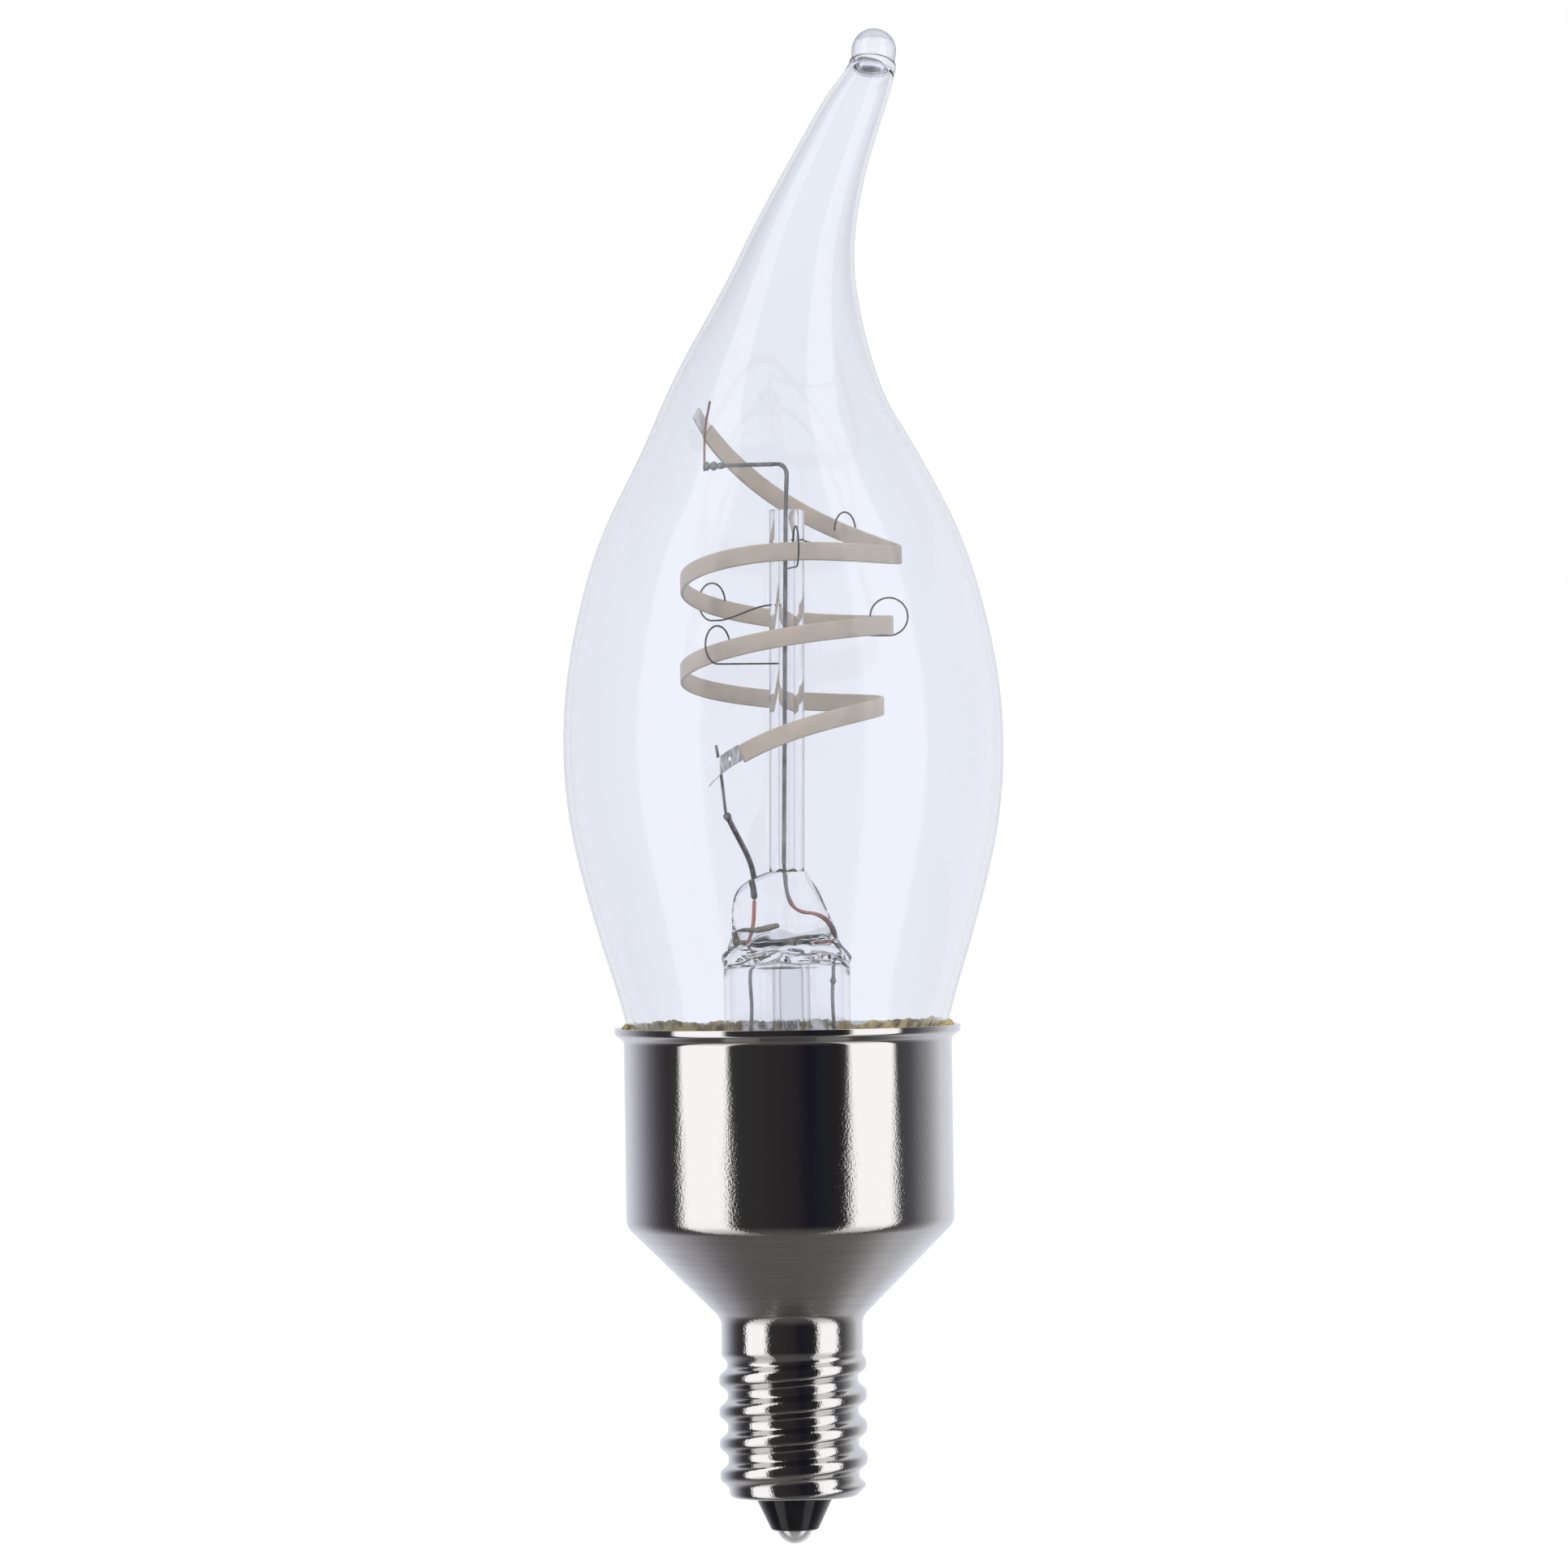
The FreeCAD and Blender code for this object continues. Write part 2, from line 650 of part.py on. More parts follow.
def exhaust_tube():
    bore = EXHAUST_RADIUS - EXHAUST_WALL
    tube = turned([
        (0, EXHAUST_TIP),
        (EXHAUST_RADIUS * 0.3, EXHAUST_TIP + EXHAUST_RADIUS * 0.1),
        (EXHAUST_RADIUS * 0.7, EXHAUST_TAPER - EXHAUST_RADIUS * 0.7),
        (EXHAUST_RADIUS, EXHAUST_TAPER),
        (EXHAUST_RADIUS, HOLLOW_TOP),
        (bore, HOLLOW_TOP),
        (bore, EXHAUST_TAPER + EXHAUST_RADIUS * 0.1),
        (0, EXHAUST_TAPER - EXHAUST_RADIUS * 0.8),
    ])
    tube.translate(point(EXHAUST_X, 0, 0))
    return tube


def post_core(radius):
    rings = [Part.Wire(Part.makeCircle(radius, end)) for end in points((POST_FOOT, POST_TOP))]
    return Part.makeLoft(rings, True, True)


def post_axis(z):
    foot, top = points((POST_FOOT, POST_TOP))
    return foot.x + (top.x - foot.x) * (z - foot.z) / (top.z - foot.z)


def support_post():
    post = post_core(POST_RADIUS).cut(post_core(POST_BORE))
    for support in SUPPORTS:
        post = post.cut(support_wire(support, SUPPORT_WIRE + 2 * GLASS_CLEARANCE))
    return post


# Filament strip
def strip_line():
    """Curve whose three coordinates are turn, distance from the axis and height."""
    stations = []
    turns = []
    for number, (radius, z) in enumerate(STRIP_STATIONS):
        turns.append(float(number * STATION_STEP - STATION_START))
        stations.append(point(turns[-1], radius, z))
    line = Part.BSplineCurve()
    line.interpolate(Points=stations, Parameters=turns)
    return line


def strip_place(line, angle):
    station = line.value(-angle)
    turn = math.radians(angle)
    return point(station.y * math.cos(turn), station.y * math.sin(turn), station.z)


def strip_frame(line, angle):
    """Place on the strip with the directions across its thickness and across its height."""
    place = strip_place(line, angle)
    along = strip_place(line, angle - 0.5) - strip_place(line, angle + 0.5)
    outward = point(place.x, place.y, 0)
    across = along.cross(outward)
    outward = across.cross(along)
    return place, outward.normalize(), across.normalize()


def strip_solid(start, end, height, thickness):
    line = strip_line()
    steps = max(round(abs(start - end) / STRIP_STEP), 3)
    corners = [(-1, -1), (1, -1), (1, 1), (-1, 1)]
    rails = [[] for corner in corners]
    for step in range(steps + 1):
        angle = start + (end - start) * step / steps
        place, outward, across = strip_frame(line, angle)
        for rail, (out, up) in zip(rails, corners):
            rail.append(place + outward * (out * thickness / 2) + across * (up * height / 2))
    shared = [float(step) for step in range(steps + 1)]
    edges = []
    for rail in rails:
        curve = Part.BSplineCurve()
        curve.interpolate(Points=rail, Parameters=shared)
        edges.append(curve.toShape())
    faces = [Part.makeRuledSurface(edges[side], edges[(side + 1) % 4]) for side in range(4)]
    for end_of_strip in (0, -1):
        ring = [rail[end_of_strip] for rail in rails]
        faces.append(Part.Face(Part.makePolygon(ring + ring[:1])))
    shell = Part.makeShell(faces)
    shell.sewShape()
    return facing_out(Part.makeSolid(shell))


def terminal_upper():
    return strip_solid(TERMINAL_UPPER_END, STRIP_FROM, TERMINAL_HEIGHT, TERMINAL_THICKNESS)


def terminal_lower():
    strip = strip_solid(STRIP_TO, TERMINAL_LOWER_END, TERMINAL_HEIGHT, TERMINAL_THICKNESS)
    place, outward, across = strip_frame(strip_line(), TERMINAL_HOLE_AT)
    return strip.cut(Part.makeCylinder(TERMINAL_HOLE, 2, place - outward, outward))


# Connecting pins
def pin_corners(angle, diameter, route):
    """Corners of a pin that touches the inner side of the strip at the given angle."""
    place, outward, across = strip_frame(strip_line(), angle)
    level = point(outward.x, outward.y, 0).normalize()
    touching = place - level * (TERMINAL_THICKNESS / 2 + diameter / 2 + PIN_GAP)
    return [point(touching.x + x, touching.y + y, z) for x, y, z in route]


def upper_pin(extra):
    corners = pin_corners(PIN_UPPER_AT, PIN_UPPER, PIN_UPPER_ROUTE)
    return swept_wire(corners, PIN_UPPER + extra, PIN_BEND)


def lower_pin(extra):
    corners = pin_corners(PIN_LOWER_AT, PIN_LOWER, PIN_LOWER_ROUTE)
    return swept_wire(corners, PIN_LOWER + extra, PIN_BEND)


# Lead wires
def upper_lead_corners():
    foot = pin_corners(PIN_UPPER_AT, PIN_UPPER, PIN_UPPER_ROUTE)[-1]
    return points(LEAD_UPPER_ROUTE) + [foot + point(0, 0, LEAD_UPPER_RISE)]


def upper_lead_body(extra):
    return swept_wire(upper_lead_corners(), LEAD_UPPER + extra, LEAD_UPPER_BEND)


def lead_wire_upper():
    elbow, end = upper_lead_corners()[-2:]
    arm = (elbow - end).normalize()
    lead = upper_lead_body(0).fuse(ball(end, KNOT_RADIUS))
    lead = lead.fuse(ball(end + arm * KNOT_SPACING, KNOT_RADIUS * 0.85))
    return lead.cut(upper_pin(2 * WELD_GAP))


def lower_lead_body(extra):
    foot = pin_corners(PIN_LOWER_AT, PIN_LOWER, PIN_LOWER_ROUTE)[-1]
    return swept_wire([foot] + points(LEAD_LOWER_ROUTE), LEAD_LOWER + extra, LEAD_LOWER_BEND)


def lead_wire_lower():
    foot = pin_corners(PIN_LOWER_AT, PIN_LOWER, PIN_LOWER_ROUTE)[-1]
    lead = lower_lead_body(0).fuse(ball(foot, LEAD_LOWER * 0.75))
    return lead.cut(lower_pin(2 * WELD_GAP))


def seal_wire_upper(extra):
    return swept_wire(points(SEAL_UPPER_ROUTE), SEAL_WIRE + extra, SEAL_BEND)


def seal_wire_lower(extra):
    return swept_wire(points(SEAL_LOWER_ROUTE), SEAL_WIRE + extra, SEAL_BEND)


def outer_lead(route, pad_x, extra):
    """Lead from the press down to its pad on the front of the board."""
    y = BOARD_FRONT - OUTER_LEAD / 2
    pad_z = BOARD_TOP_FROM_RIM - PAD_DROP
    corners = points(route)
    corners.append(point(pad_x, y, BOARD_TOP_FROM_RIM + LEAD_ABOVE_BOARD))
    corners.append(point(pad_x, y, pad_z - PAD_TAIL))
    lead = swept_wire(corners, OUTER_LEAD + extra, OUTER_BEND)
    return lead if extra else lead.fuse(solder(pad_x, pad_z, -1))


def outer_lead_upper(extra):
    lead = outer_lead(OUTER_UPPER_ROUTE, PAD_UPPER_X, extra)
    return lead if extra else lead.fuse(ball(point(*WELD_UPPER), WELD_RADIUS))


def outer_lead_lower(extra):
    return outer_lead(OUTER_LOWER_ROUTE, PAD_LOWER_X, extra)


def wires_in_press(extra):
    return [
        upper_lead_body(extra),
        lower_lead_body(extra),
        seal_wire_upper(extra),
        seal_wire_lower(extra),
        outer_lead_upper(extra),
        outer_lead_lower(extra),
    ]


# Support wires
def support_wire(support, diameter):
    """Runs out from the post under the strip, then loops round it to a free end on the inside."""
    degrees, post_z, shift, slack, loop = support
    strip = strip_place(strip_line(), degrees)
    reach = math.hypot(strip.x, strip.y) + shift
    foot_z = strip.z - STRIP_HEIGHT / 2 - SUPPORT_WIRE / 2 - slack
    turn = math.radians(degrees)

    def place(distance, z):
        return point(distance * math.cos(turn), distance * math.sin(turn), z)

    def on_loop(around):
        swing = math.radians(around - 90)
        return place(reach + loop * math.cos(swing), foot_z + loop + loop * math.sin(swing))

    axis = point(post_axis(post_z), 0, 0)
    corners = [
        axis + place(POST_BORE + SUPPORT_EMBED, post_z),
        axis * 0.5 + place(POST_RADIUS + SUPPORT_FIRST_RUN, post_z),
        place(reach - LOOP_LEAD_IN, foot_z),
        on_loop(0),
    ]
    edges = rounded_path(corners, [SUPPORT_BEND, SUPPORT_BEND])
    edges.append(Part.Arc(on_loop(0), on_loop(LOOP_TURN / 2), on_loop(LOOP_TURN)).toShape())
    return swept_edges(edges, corners[0], corners[1] - corners[0], diameter)


# Driver board and what is on it
def solder(x, z, side):
    """Half drop of solder on the front (-1) or back (1) of the board."""
    face = side * BOARD_THICKNESS / 2
    size = SOLDER_RADIUS * 2
    drop = ball(point(x, face, z), SOLDER_RADIUS)
    return drop.common(box(x - size, x + size, face, face + side * size, z - size, z + size))


def driver_board():
    tongue_top = NECK_TOP + TONGUE_RISE
    shoulder = CONE_TOP - SHOULDER_DROP
    half_outline = [
        (TONGUE_HALF_WIDTH, BOARD_FOOT),
        (TONGUE_HALF_WIDTH, tongue_top),
        (BOARD_HALF_WIDTH, shoulder),
        (BOARD_HALF_WIDTH, BOARD_TOP),
    ]
    loop = [point(x, BOARD_FRONT, z) for x, z in half_outline]
    loop += [point(-x, BOARD_FRONT, z) for x, z in reversed(half_outline)]
    return Part.Face(Part.makePolygon(loop + loop[:1])).extrude(point(0, BOARD_THICKNESS, 0))


def board_pin(x, y, z, way):
    """Bent pin from a part on the back of the board, with its solder."""
    far = z + way * PIN_LENGTH
    corners = [point(x, y, z - way * PIN_INSIDE), point(x, y, far), point(x, BOARD_BACK, far)]
    return swept_wire(corners, BOARD_WIRE, BOARD_WIRE).fuse(solder(x, far, 1))


def smoothing_capacitor():
    bottom = BOARD_TOP - PART_DROP - CAPACITOR_LENGTH
    centre = point(CAPACITOR_X, BOARD_BACK + CAPACITOR_RADIUS, bottom)
    can = Part.makeCylinder(CAPACITOR_RADIUS, CAPACITOR_LENGTH, centre)
    can = can.makeFillet(CAPACITOR_EDGE, can.Edges)
    for side in (-1, 1):
        can = can.fuse(board_pin(centre.x + side * CAPACITOR_PINS, centre.y, bottom, -1))
    return can


def fuse_resistor():
    bottom = BOARD_FOOT + RESISTOR_RISE
    y = BOARD_BACK + RESISTOR_RADIUS
    body = Part.makeCylinder(RESISTOR_RADIUS, RESISTOR_LENGTH, point(0, y, bottom))
    body = body.makeFillet(PART_EDGE, body.Edges)
    body = body.fuse(board_pin(0, y, bottom, -1))
    return body.fuse(board_pin(0, y, bottom + RESISTOR_LENGTH, 1))


def film_capacitor():
    width, depth, height = FILM_SIZE
    top = BOARD_TOP - PART_DROP
    body = box(FILM_X - width / 2, FILM_X + width / 2, BOARD_BACK, BOARD_BACK + depth,
               top - height, top)
    return body.makeFillet(PART_EDGE, body.Edges)


def chip_with_legs(x, size, legs):
    """Flat package on the front of the board with legs at the left and right."""
    width, depth, height = size
    middle = BOARD_TOP - CHIP_DROP
    face = BOARD_FRONT - CHIP_LIFT
    body = box(x - width / 2, x + width / 2, face - depth, face,
               middle - height / 2, middle + height / 2)
    for leg in range(legs):
        level = middle - height / 2 + height / legs * (leg + 0.5)
        for side in (-1, 1):
            body = body.fuse(chip_leg(x + side * width / 2, side, level))
    return body.removeSplitter()


def chip_leg(edge, side, level):
    """Leg out of the package, down to the board and out along it."""
    low, high = level - LEG_WIDTH / 2, level + LEG_WIDTH / 2
    shoulder = edge + side * LEG_REACH
    heel = shoulder - side * LEG_THICKNESS
    top = BOARD_FRONT - LEG_HEIGHT
    arm = box(edge - side * LEG_INSIDE, shoulder, top, top + LEG_THICKNESS, low, high)
    drop = box(heel, shoulder, top, BOARD_FRONT, low, high)
    toe = box(heel, shoulder + side * TOE_LENGTH, BOARD_FRONT - LEG_THICKNESS, BOARD_FRONT, low, high)
    return arm.fuse(drop).fuse(toe)


def insulating_sleeve():
    top = NECK_TOP - SLEEVE_DROP
    return turned([
        (SLEEVE_BORE, INSULATOR_TOP),
        (SLEEVE_RADIUS, INSULATOR_TOP),
        (SLEEVE_RADIUS, top),
        (SLEEVE_BORE, top),
    ])


def contact_wire():
    y = BOARD_FRONT - BOARD_WIRE / 2
    pad_z = BOARD_FOOT + CONTACT_PAD_RISE
    corners = [
        point(0, 0, SHANK_TOP),
        point(0, 0, INSULATOR_TOP + CONTACT_WIRE_RISE),
        point(CONTACT_PAD_X, y, BOARD_FOOT - BOARD_WIRE),
        point(CONTACT_PAD_X, y, pad_z + PAD_TAIL),
    ]
    return swept_wire(corners, BOARD_WIRE, BOARD_WIRE_BEND).fuse(solder(CONTACT_PAD_X, pad_z, -1))


def shell_wire():
    y = BOARD_BACK + BOARD_WIRE / 2
    pad_x = BOARD_HALF_WIDTH - SHELL_PAD_INSET
    pad_z = BOARD_TOP - SHELL_PAD_DROP
    joint_z = BOARD_TOP - SHELL_JOINT_DROP
    corners = [
        point(pad_x, y, pad_z - PAD_TAIL),
        point(pad_x, y, pad_z + SHELL_WIRE_RISE),
        point(BOARD_HALF_WIDTH + BOARD_WIRE * 2, y, joint_z),
        point(SKIRT_BORE - BOARD_WIRE / 2, y, joint_z),
    ]
    joint = ball(point(SKIRT_BORE, y, joint_z), SHELL_JOINT_RADIUS)
    bore_foot = point(0, 0, joint_z - 2 * SHELL_JOINT_RADIUS)
    joint = joint.common(Part.makeCylinder(SKIRT_BORE, 4 * SHELL_JOINT_RADIUS, bore_foot))
    return swept_wire(corners, BOARD_WIRE, BOARD_WIRE_BEND).fuse(joint).fuse(solder(pad_x, pad_z, 1))


def glass_parts():
    """The glass and all it holds, with heights from the rim."""
    parts = {
        "glass_envelope": glass_envelope(),
        "stem_flare": stem_flare(),
        "exhaust_tube": exhaust_tube(),
        "support_post": support_post(),
        "led_filament": strip_solid(STRIP_FROM, STRIP_TO, STRIP_HEIGHT, STRIP_THICKNESS),
        "filament_terminal_upper": terminal_upper(),
        "filament_terminal_lower": terminal_lower(),
        "lead_wire_upper": lead_wire_upper(),
        "lead_wire_lower": lead_wire_lower(),
        "lead_pin_upper": upper_pin(0),
        "lead_pin_lower": lower_pin(0),
        "seal_wire_upper": seal_wire_upper(0),
        "seal_wire_lower": seal_wire_lower(0),
        "outer_lead_upper": outer_lead_upper(0),
        "outer_lead_lower": outer_lead_lower(0),
    }
    for number, support in enumerate(SUPPORTS, 1):
        parts["support_wire_%d" % number] = support_wire(support, SUPPORT_WIRE)
    for shape in parts.values():
        shape.translate(point(0, 0, GLASS_RIM))
    return parts


def base_parts():
    return {
        "basing_cement": basing_cement(),
        "screw_shell": screw_shell(),
        "base_insulator": base_insulator(),
        "centre_contact": centre_contact(),
        "driver_board": driver_board(),
        "smoothing_capacitor": smoothing_capacitor(),
        "bridge_rectifier": chip_with_legs(-CHIP_X, RECTIFIER_SIZE, RECTIFIER_LEGS),
        "driver_chip": chip_with_legs(CHIP_X, CHIP_SIZE, CHIP_LEGS),
        "fuse_resistor": fuse_resistor(),
        "film_capacitor": film_capacitor(),
        "insulating_sleeve": insulating_sleeve(),
        "contact_wire": contact_wire(),
        "shell_wire": shell_wire(),
    }


def build():
    return {**glass_parts(), **base_parts()}


os.makedirs("parts", exist_ok=True)
for node, shape in build().items():
    solid = shape.Solids[0]
    print(node, len(shape.Solids), solid.isValid(), round(shape.Volume, 3))
    solid.exportStep("parts/" + node + ".step")
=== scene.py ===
import math

import bpy
import numpy as np
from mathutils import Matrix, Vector, noise


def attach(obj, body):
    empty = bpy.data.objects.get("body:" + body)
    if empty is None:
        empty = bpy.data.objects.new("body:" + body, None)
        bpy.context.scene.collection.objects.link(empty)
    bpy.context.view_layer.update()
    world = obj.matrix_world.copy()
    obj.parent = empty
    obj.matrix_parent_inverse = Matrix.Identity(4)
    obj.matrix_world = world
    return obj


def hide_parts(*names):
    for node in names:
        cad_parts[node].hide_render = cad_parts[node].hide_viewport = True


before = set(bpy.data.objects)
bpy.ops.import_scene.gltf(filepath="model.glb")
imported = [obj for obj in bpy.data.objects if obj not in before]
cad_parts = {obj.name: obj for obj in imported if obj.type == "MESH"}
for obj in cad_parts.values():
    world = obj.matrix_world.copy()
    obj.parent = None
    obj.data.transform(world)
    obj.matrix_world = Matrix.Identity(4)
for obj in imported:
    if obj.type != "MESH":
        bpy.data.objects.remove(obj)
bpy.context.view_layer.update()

# Sizes are in mm, in the part's own coordinates, and mostly those of the part's source. The glass
# walls, the press, the thread and the lip have a finer form here.
MM = 0.001

# Screw shell
SHEET = 0.3
THREAD_CREST = 5.87
THREAD_ROOT = 5.2
THREAD_PITCH = 2.54
THREAD_BOTTOM = 3.75
THREAD_TOP = 15.6
FIRST_CREST = 0.45
THREAD_FADE = 1.3
RIM_FADE = 1.1
RIM_STEP = 0.1
RIM_OPENING = 4.3
RIM_EDGE = 0.3
FLATTENING = 0.11
NECK_RADIUS = 5.62
NECK_TOP = 18.0
SKIRT_RADIUS = 13.05
CONE_TOP = 25.43
LIP_RADIUS = 13.76
LIP_TOP = 41.1
LIP_EDGE_TOP = 41.19
LIP_DEPTH = 0.95
LIP_EDGE_DEPTH = 0.42
LIP_DEPTH_INSIDE = 0.62
LIP_SLOPE = 0.9

# Glass envelope. Heights in the glass are measured from its lower rim, which is at GLASS_RIM.
GLASS_RIM = 33.5
GLASS_RADIUS = 17.5
GLASS_RIM_RADIUS = 11.6
WALL_BELOW = 0.5
WALL_AT_TIP = 0.32
# Points of the centre line (x, y, height), each with the outer radius there
ENVELOPE_STATIONS = [
    (0.0, 0.0, 0.0, GLASS_RIM_RADIUS),
    (0.0, 0.0, 4.5, 12.20),
    (0.0, 0.0, 8.5, 12.95),
    (0.0, 0.0, 13.1, 14.30),
    (0.0, 0.0, 18.0, 15.72),
    (0.0, 0.0, 23.5, 16.97),
    (0.0, 0.0, 29.5, GLASS_RADIUS),
    (0.0, 0.0, 35.5, 17.14),
    (0.0, 0.0, 41.5, 15.95),
    (0.0, 0.0, 47.5, 13.95),
    (-0.05, 0.0, 52.5, 11.44),
    (0.0, 0.0, 56.7, 9.30),
    (0.45, 0.0, 61.0, 7.34),
    (1.14, 0.0, 65.3, 5.61),
    (2.03, 0.0, 69.5, 4.33),
    (3.35, 0.1, 73.6, 3.44),
    (4.94, 0.45, 77.6, 2.79),
    (6.30, 1.0, 80.6, 2.42),
    (7.35, 1.65, 82.8, 2.08),
    (7.89, 2.1, 84.1, 1.89),
]
BEND_STATION = 9
# Where the centre line leaves the axis, where its rings start to tip over, and where they take the
# heading of the bead: each is a height and the run over which it happens
LEAVES_AXIS = (41.5, 11.0)
RINGS_TIP = (44.0, 14.0)
RINGS_TURN = (80.6, 3.2)
BEAD_RADIUS = 1.78
BEAD_FOOT_RADIUS = 1.72
BEAD_CENTRE = (8.04, 2.65, 85.41)
CAVITY_RADIUS = 1.35
# End of the cavity: rise above its last ring, and share of that ring's radius
CAVITY_END = [(0.10, 0.95), (0.16, 0.82), (0.12, 0.6), (0.0, 0.4), (-0.12, 0.1)]
CREASE_RADIUS = 1.83
CREASE_THICKNESS = 0.045
CREASE_RISE = 0.2
SCAR_RADIUS = 0.34
SCAR_DROP = 0.3

# Stem: flared tube, hollow and press
FLARE_RADIUS = 5.05
FLARE_WALL = 0.5
FLARE_LEDGE = 10.6
TRUMPET_HEIGHT = 2.5
PRESS_START = 12.3
HOLLOW_TOP = 13.4
HOLLOW_HALF_WIDTH = 4.4
MELTED_SHIFT = 0.42
# Sections of the press: height, left edge, right edge, half thickness, squareness
PRESS_SECTIONS = [
    (12.3, -5.05, 5.05, 5.05, 2.0),
    (13.2, -5.00, 4.95, 4.1, 2.1),
    (14.0, -4.55, 4.45, 2.4, 2.3),
    (15.0, -4.34, 4.10, 1.65, 2.6),
    (16.9, -4.30, 3.30, 1.5, 2.8),
    (18.5, -3.90, 2.60, 1.5, 2.6),
    (19.5, -2.70, 1.95, 1.55, 2.3),
    (20.0, -1.48, 1.72, 1.5, 2.0),
]
EXHAUST_X = 0.34
EXHAUST_RADIUS = 1.5
EXHAUST_BORE = 0.95
POST_FOOT = (0.12, 0.0, 20.0)
POST_TOP = (0.54, 0.0, 48.7)
POST_RADIUS = 1.4
POST_BORE = 0.65
POST_INSET = 0.02
POST_EDGE = 0.12

# Filament strip: distance from the axis and height at each quarter turn, from the top down
STRIP_STATIONS = [
    (7.90, 61.30), (8.20, 49.74), (9.50, 45.02), (8.50, 45.16), (7.88, 42.82),
    (8.20, 40.12), (8.75, 39.45), (8.20, 38.44), (7.99, 35.72), (8.00, 33.66),
    (7.92, 33.03), (7.50, 30.82), (6.70, 24.80),
]
STATION_START = 180.0
STATION_STEP = 90.0
STRIP_HEIGHT = 1.45
STRIP_THICKNESS = 0.3
STRIP_FROM = 137
STRIP_TO = -837
TERMINAL_HEIGHT = 1.25
TERMINAL_THICKNESS = 0.15
TERMINAL_END = 148
PIN_UPPER_AT = 142
PIN_LOWER_AT = -857
LEAD_UPPER_RISE = 0.4

# Support wires: angle along the strip, height at the post, shift of the loop from the strip,
# slack under the strip, loop radius
SUPPORTS = [
    (55, 46.30, 0.35, 0.57, 1.5),
    (-82, 43.99, 0.0, 0.42, 1.6),
    (-225, 41.15, -0.05, 0.41, 1.5),
    (-360, 39.10, -0.20, 0.06, 1.5),
    (-489, 36.48, 0.0, 0.11, 1.5),
]
SUPPORT_WIRE = 0.15
SUPPORT_EMBED = 0.2
SUPPORT_FIRST_RUN = 1.2
LOOP_LEAD_IN = 1.6

# Cement, insulator and contact
CEMENT_SEAT = 39.7
CEMENT_TOP = 42.1
CEMENT_RADIUS = 12.72
CEMENT_GAP_X = 5.6
CEMENT_GAP_WIDTH = 0.8
CONTACT_HEIGHT = 1.1
CONTACT_RADIUS = 1.42

# Points round each ring
ENVELOPE_COLUMNS = 256
STEM_COLUMNS = 128
SHELL_COLUMNS = 224
CEMENT_COLUMNS = 360


# Shapes
def smooth_share(value):
    """Eased share from 0 to 1, for a number or an array."""
    value = np.clip(value, 0, 1)
    return value * value * (3 - 2 * value)


def spline(knots, values, places):
    """Natural cubic spline through rows of values at the knots, read at the places."""
    knots, values, places = (np.asarray(given, float) for given in (knots, values, places))
    gaps = np.diff(knots)
    matrix = np.eye(len(knots))
    right = np.zeros_like(values)
    slopes = np.diff(values, axis=0) / gaps[:, None]
    for i in range(1, len(knots) - 1):
        matrix[i, i - 1:i + 2] = gaps[i - 1], 2 * (gaps[i - 1] + gaps[i]), gaps[i]
        right[i] = 6 * (slopes[i] - slopes[i - 1])
    bends = np.linalg.solve(matrix, right)
    at = np.clip(np.searchsorted(knots, places) - 1, 0, len(knots) - 2)
    gap = gaps[at][:, None]
    low = (places - knots[at])[:, None]
    high = gap - low
    curve = (bends[at] * high ** 3 + bends[at + 1] * low ** 3) / (6 * gap)
    curve += (values[at] / gap - bends[at] * gap / 6) * high
    return curve + (values[at + 1] / gap - bends[at + 1] * gap / 6) * low


def filleted(corners, bends, steps=10):
    """Points along straight runs, with a round bend at each inner corner."""
    corners = [np.array(corner, float) for corner in corners]
    points = [corners[0]]
    for index, bend in enumerate(bends):
        corner = corners[index + 1]
        back = corners[index] - corner
        ahead = corners[index + 2] - corner
        longest = 0.45 * min(np.linalg.norm(back), np.linalg.norm(ahead))
        back /= np.linalg.norm(back)
        ahead /= np.linalg.norm(ahead)
        half = math.acos(float(np.clip(back.dot(ahead), -1, 1))) / 2
        reach = min(bend / math.tan(half), longest)
        radius = reach * math.tan(half)
        centre = corner + (back + ahead) / np.linalg.norm(back + ahead) * radius / math.sin(half)
        first = corner + back * reach - centre
        last = corner + ahead * reach - centre
        sweep = math.acos(float(np.clip(first.dot(last) / radius ** 2, -1, 1)))
        for step in range(steps + 1):
            share = step / steps
            mix = first * math.sin((1 - share) * sweep) + last * math.sin(share * sweep)
            points.append(centre + mix / math.sin(sweep))
    points.append(corners[-1])
    return points


def divided(points, longest):
    """The same line with no run longer than the given length."""
    result = [points[0]]
    for first, second in zip(points, points[1:]):
        count = max(1, math.ceil(np.linalg.norm(second - first) / longest))
        for step in range(1, count + 1):
            result.append(first + (second - first) * step / count)
    return result


def smoothed(corners, rounds=4):
    """A line with its corners cut again and again, which ends where it did."""
    line = [np.array(corner, float) for corner in corners]
    for _ in range(rounds):
        cut = [line[0]]
        for first, second in zip(line, line[1:]):
            cut.append(first * 0.75 + second * 0.25)
            cut.append(first * 0.25 + second * 0.75)
        line = cut + [line[-1]]
    return line


def run_along(points):
    """Distance of each point from the first one, along the line."""
    steps = np.linalg.norm(np.diff(points, axis=0), axis=1)
    return np.concatenate([[0], np.cumsum(steps)])


def even_path(points, spacing):
    """Evenly spaced points along a line, with their distances from its start."""
    points = np.asarray(points, float)
    run = run_along(points)
    places = np.linspace(0, run[-1], max(4, round(run[-1] / spacing)))
    return np.column_stack([np.interp(places, run, points[:, i]) for i in range(3)]), places


def circle(count):
    turn = np.arange(count) * 2 * math.pi / count
    return np.stack([np.cos(turn), np.sin(turn)], axis=1)


def square_ring(place, radius, heading, side, around):
    return place + radius * (around[:, :1] * side + around[:, 1:] * np.cross(heading, side))


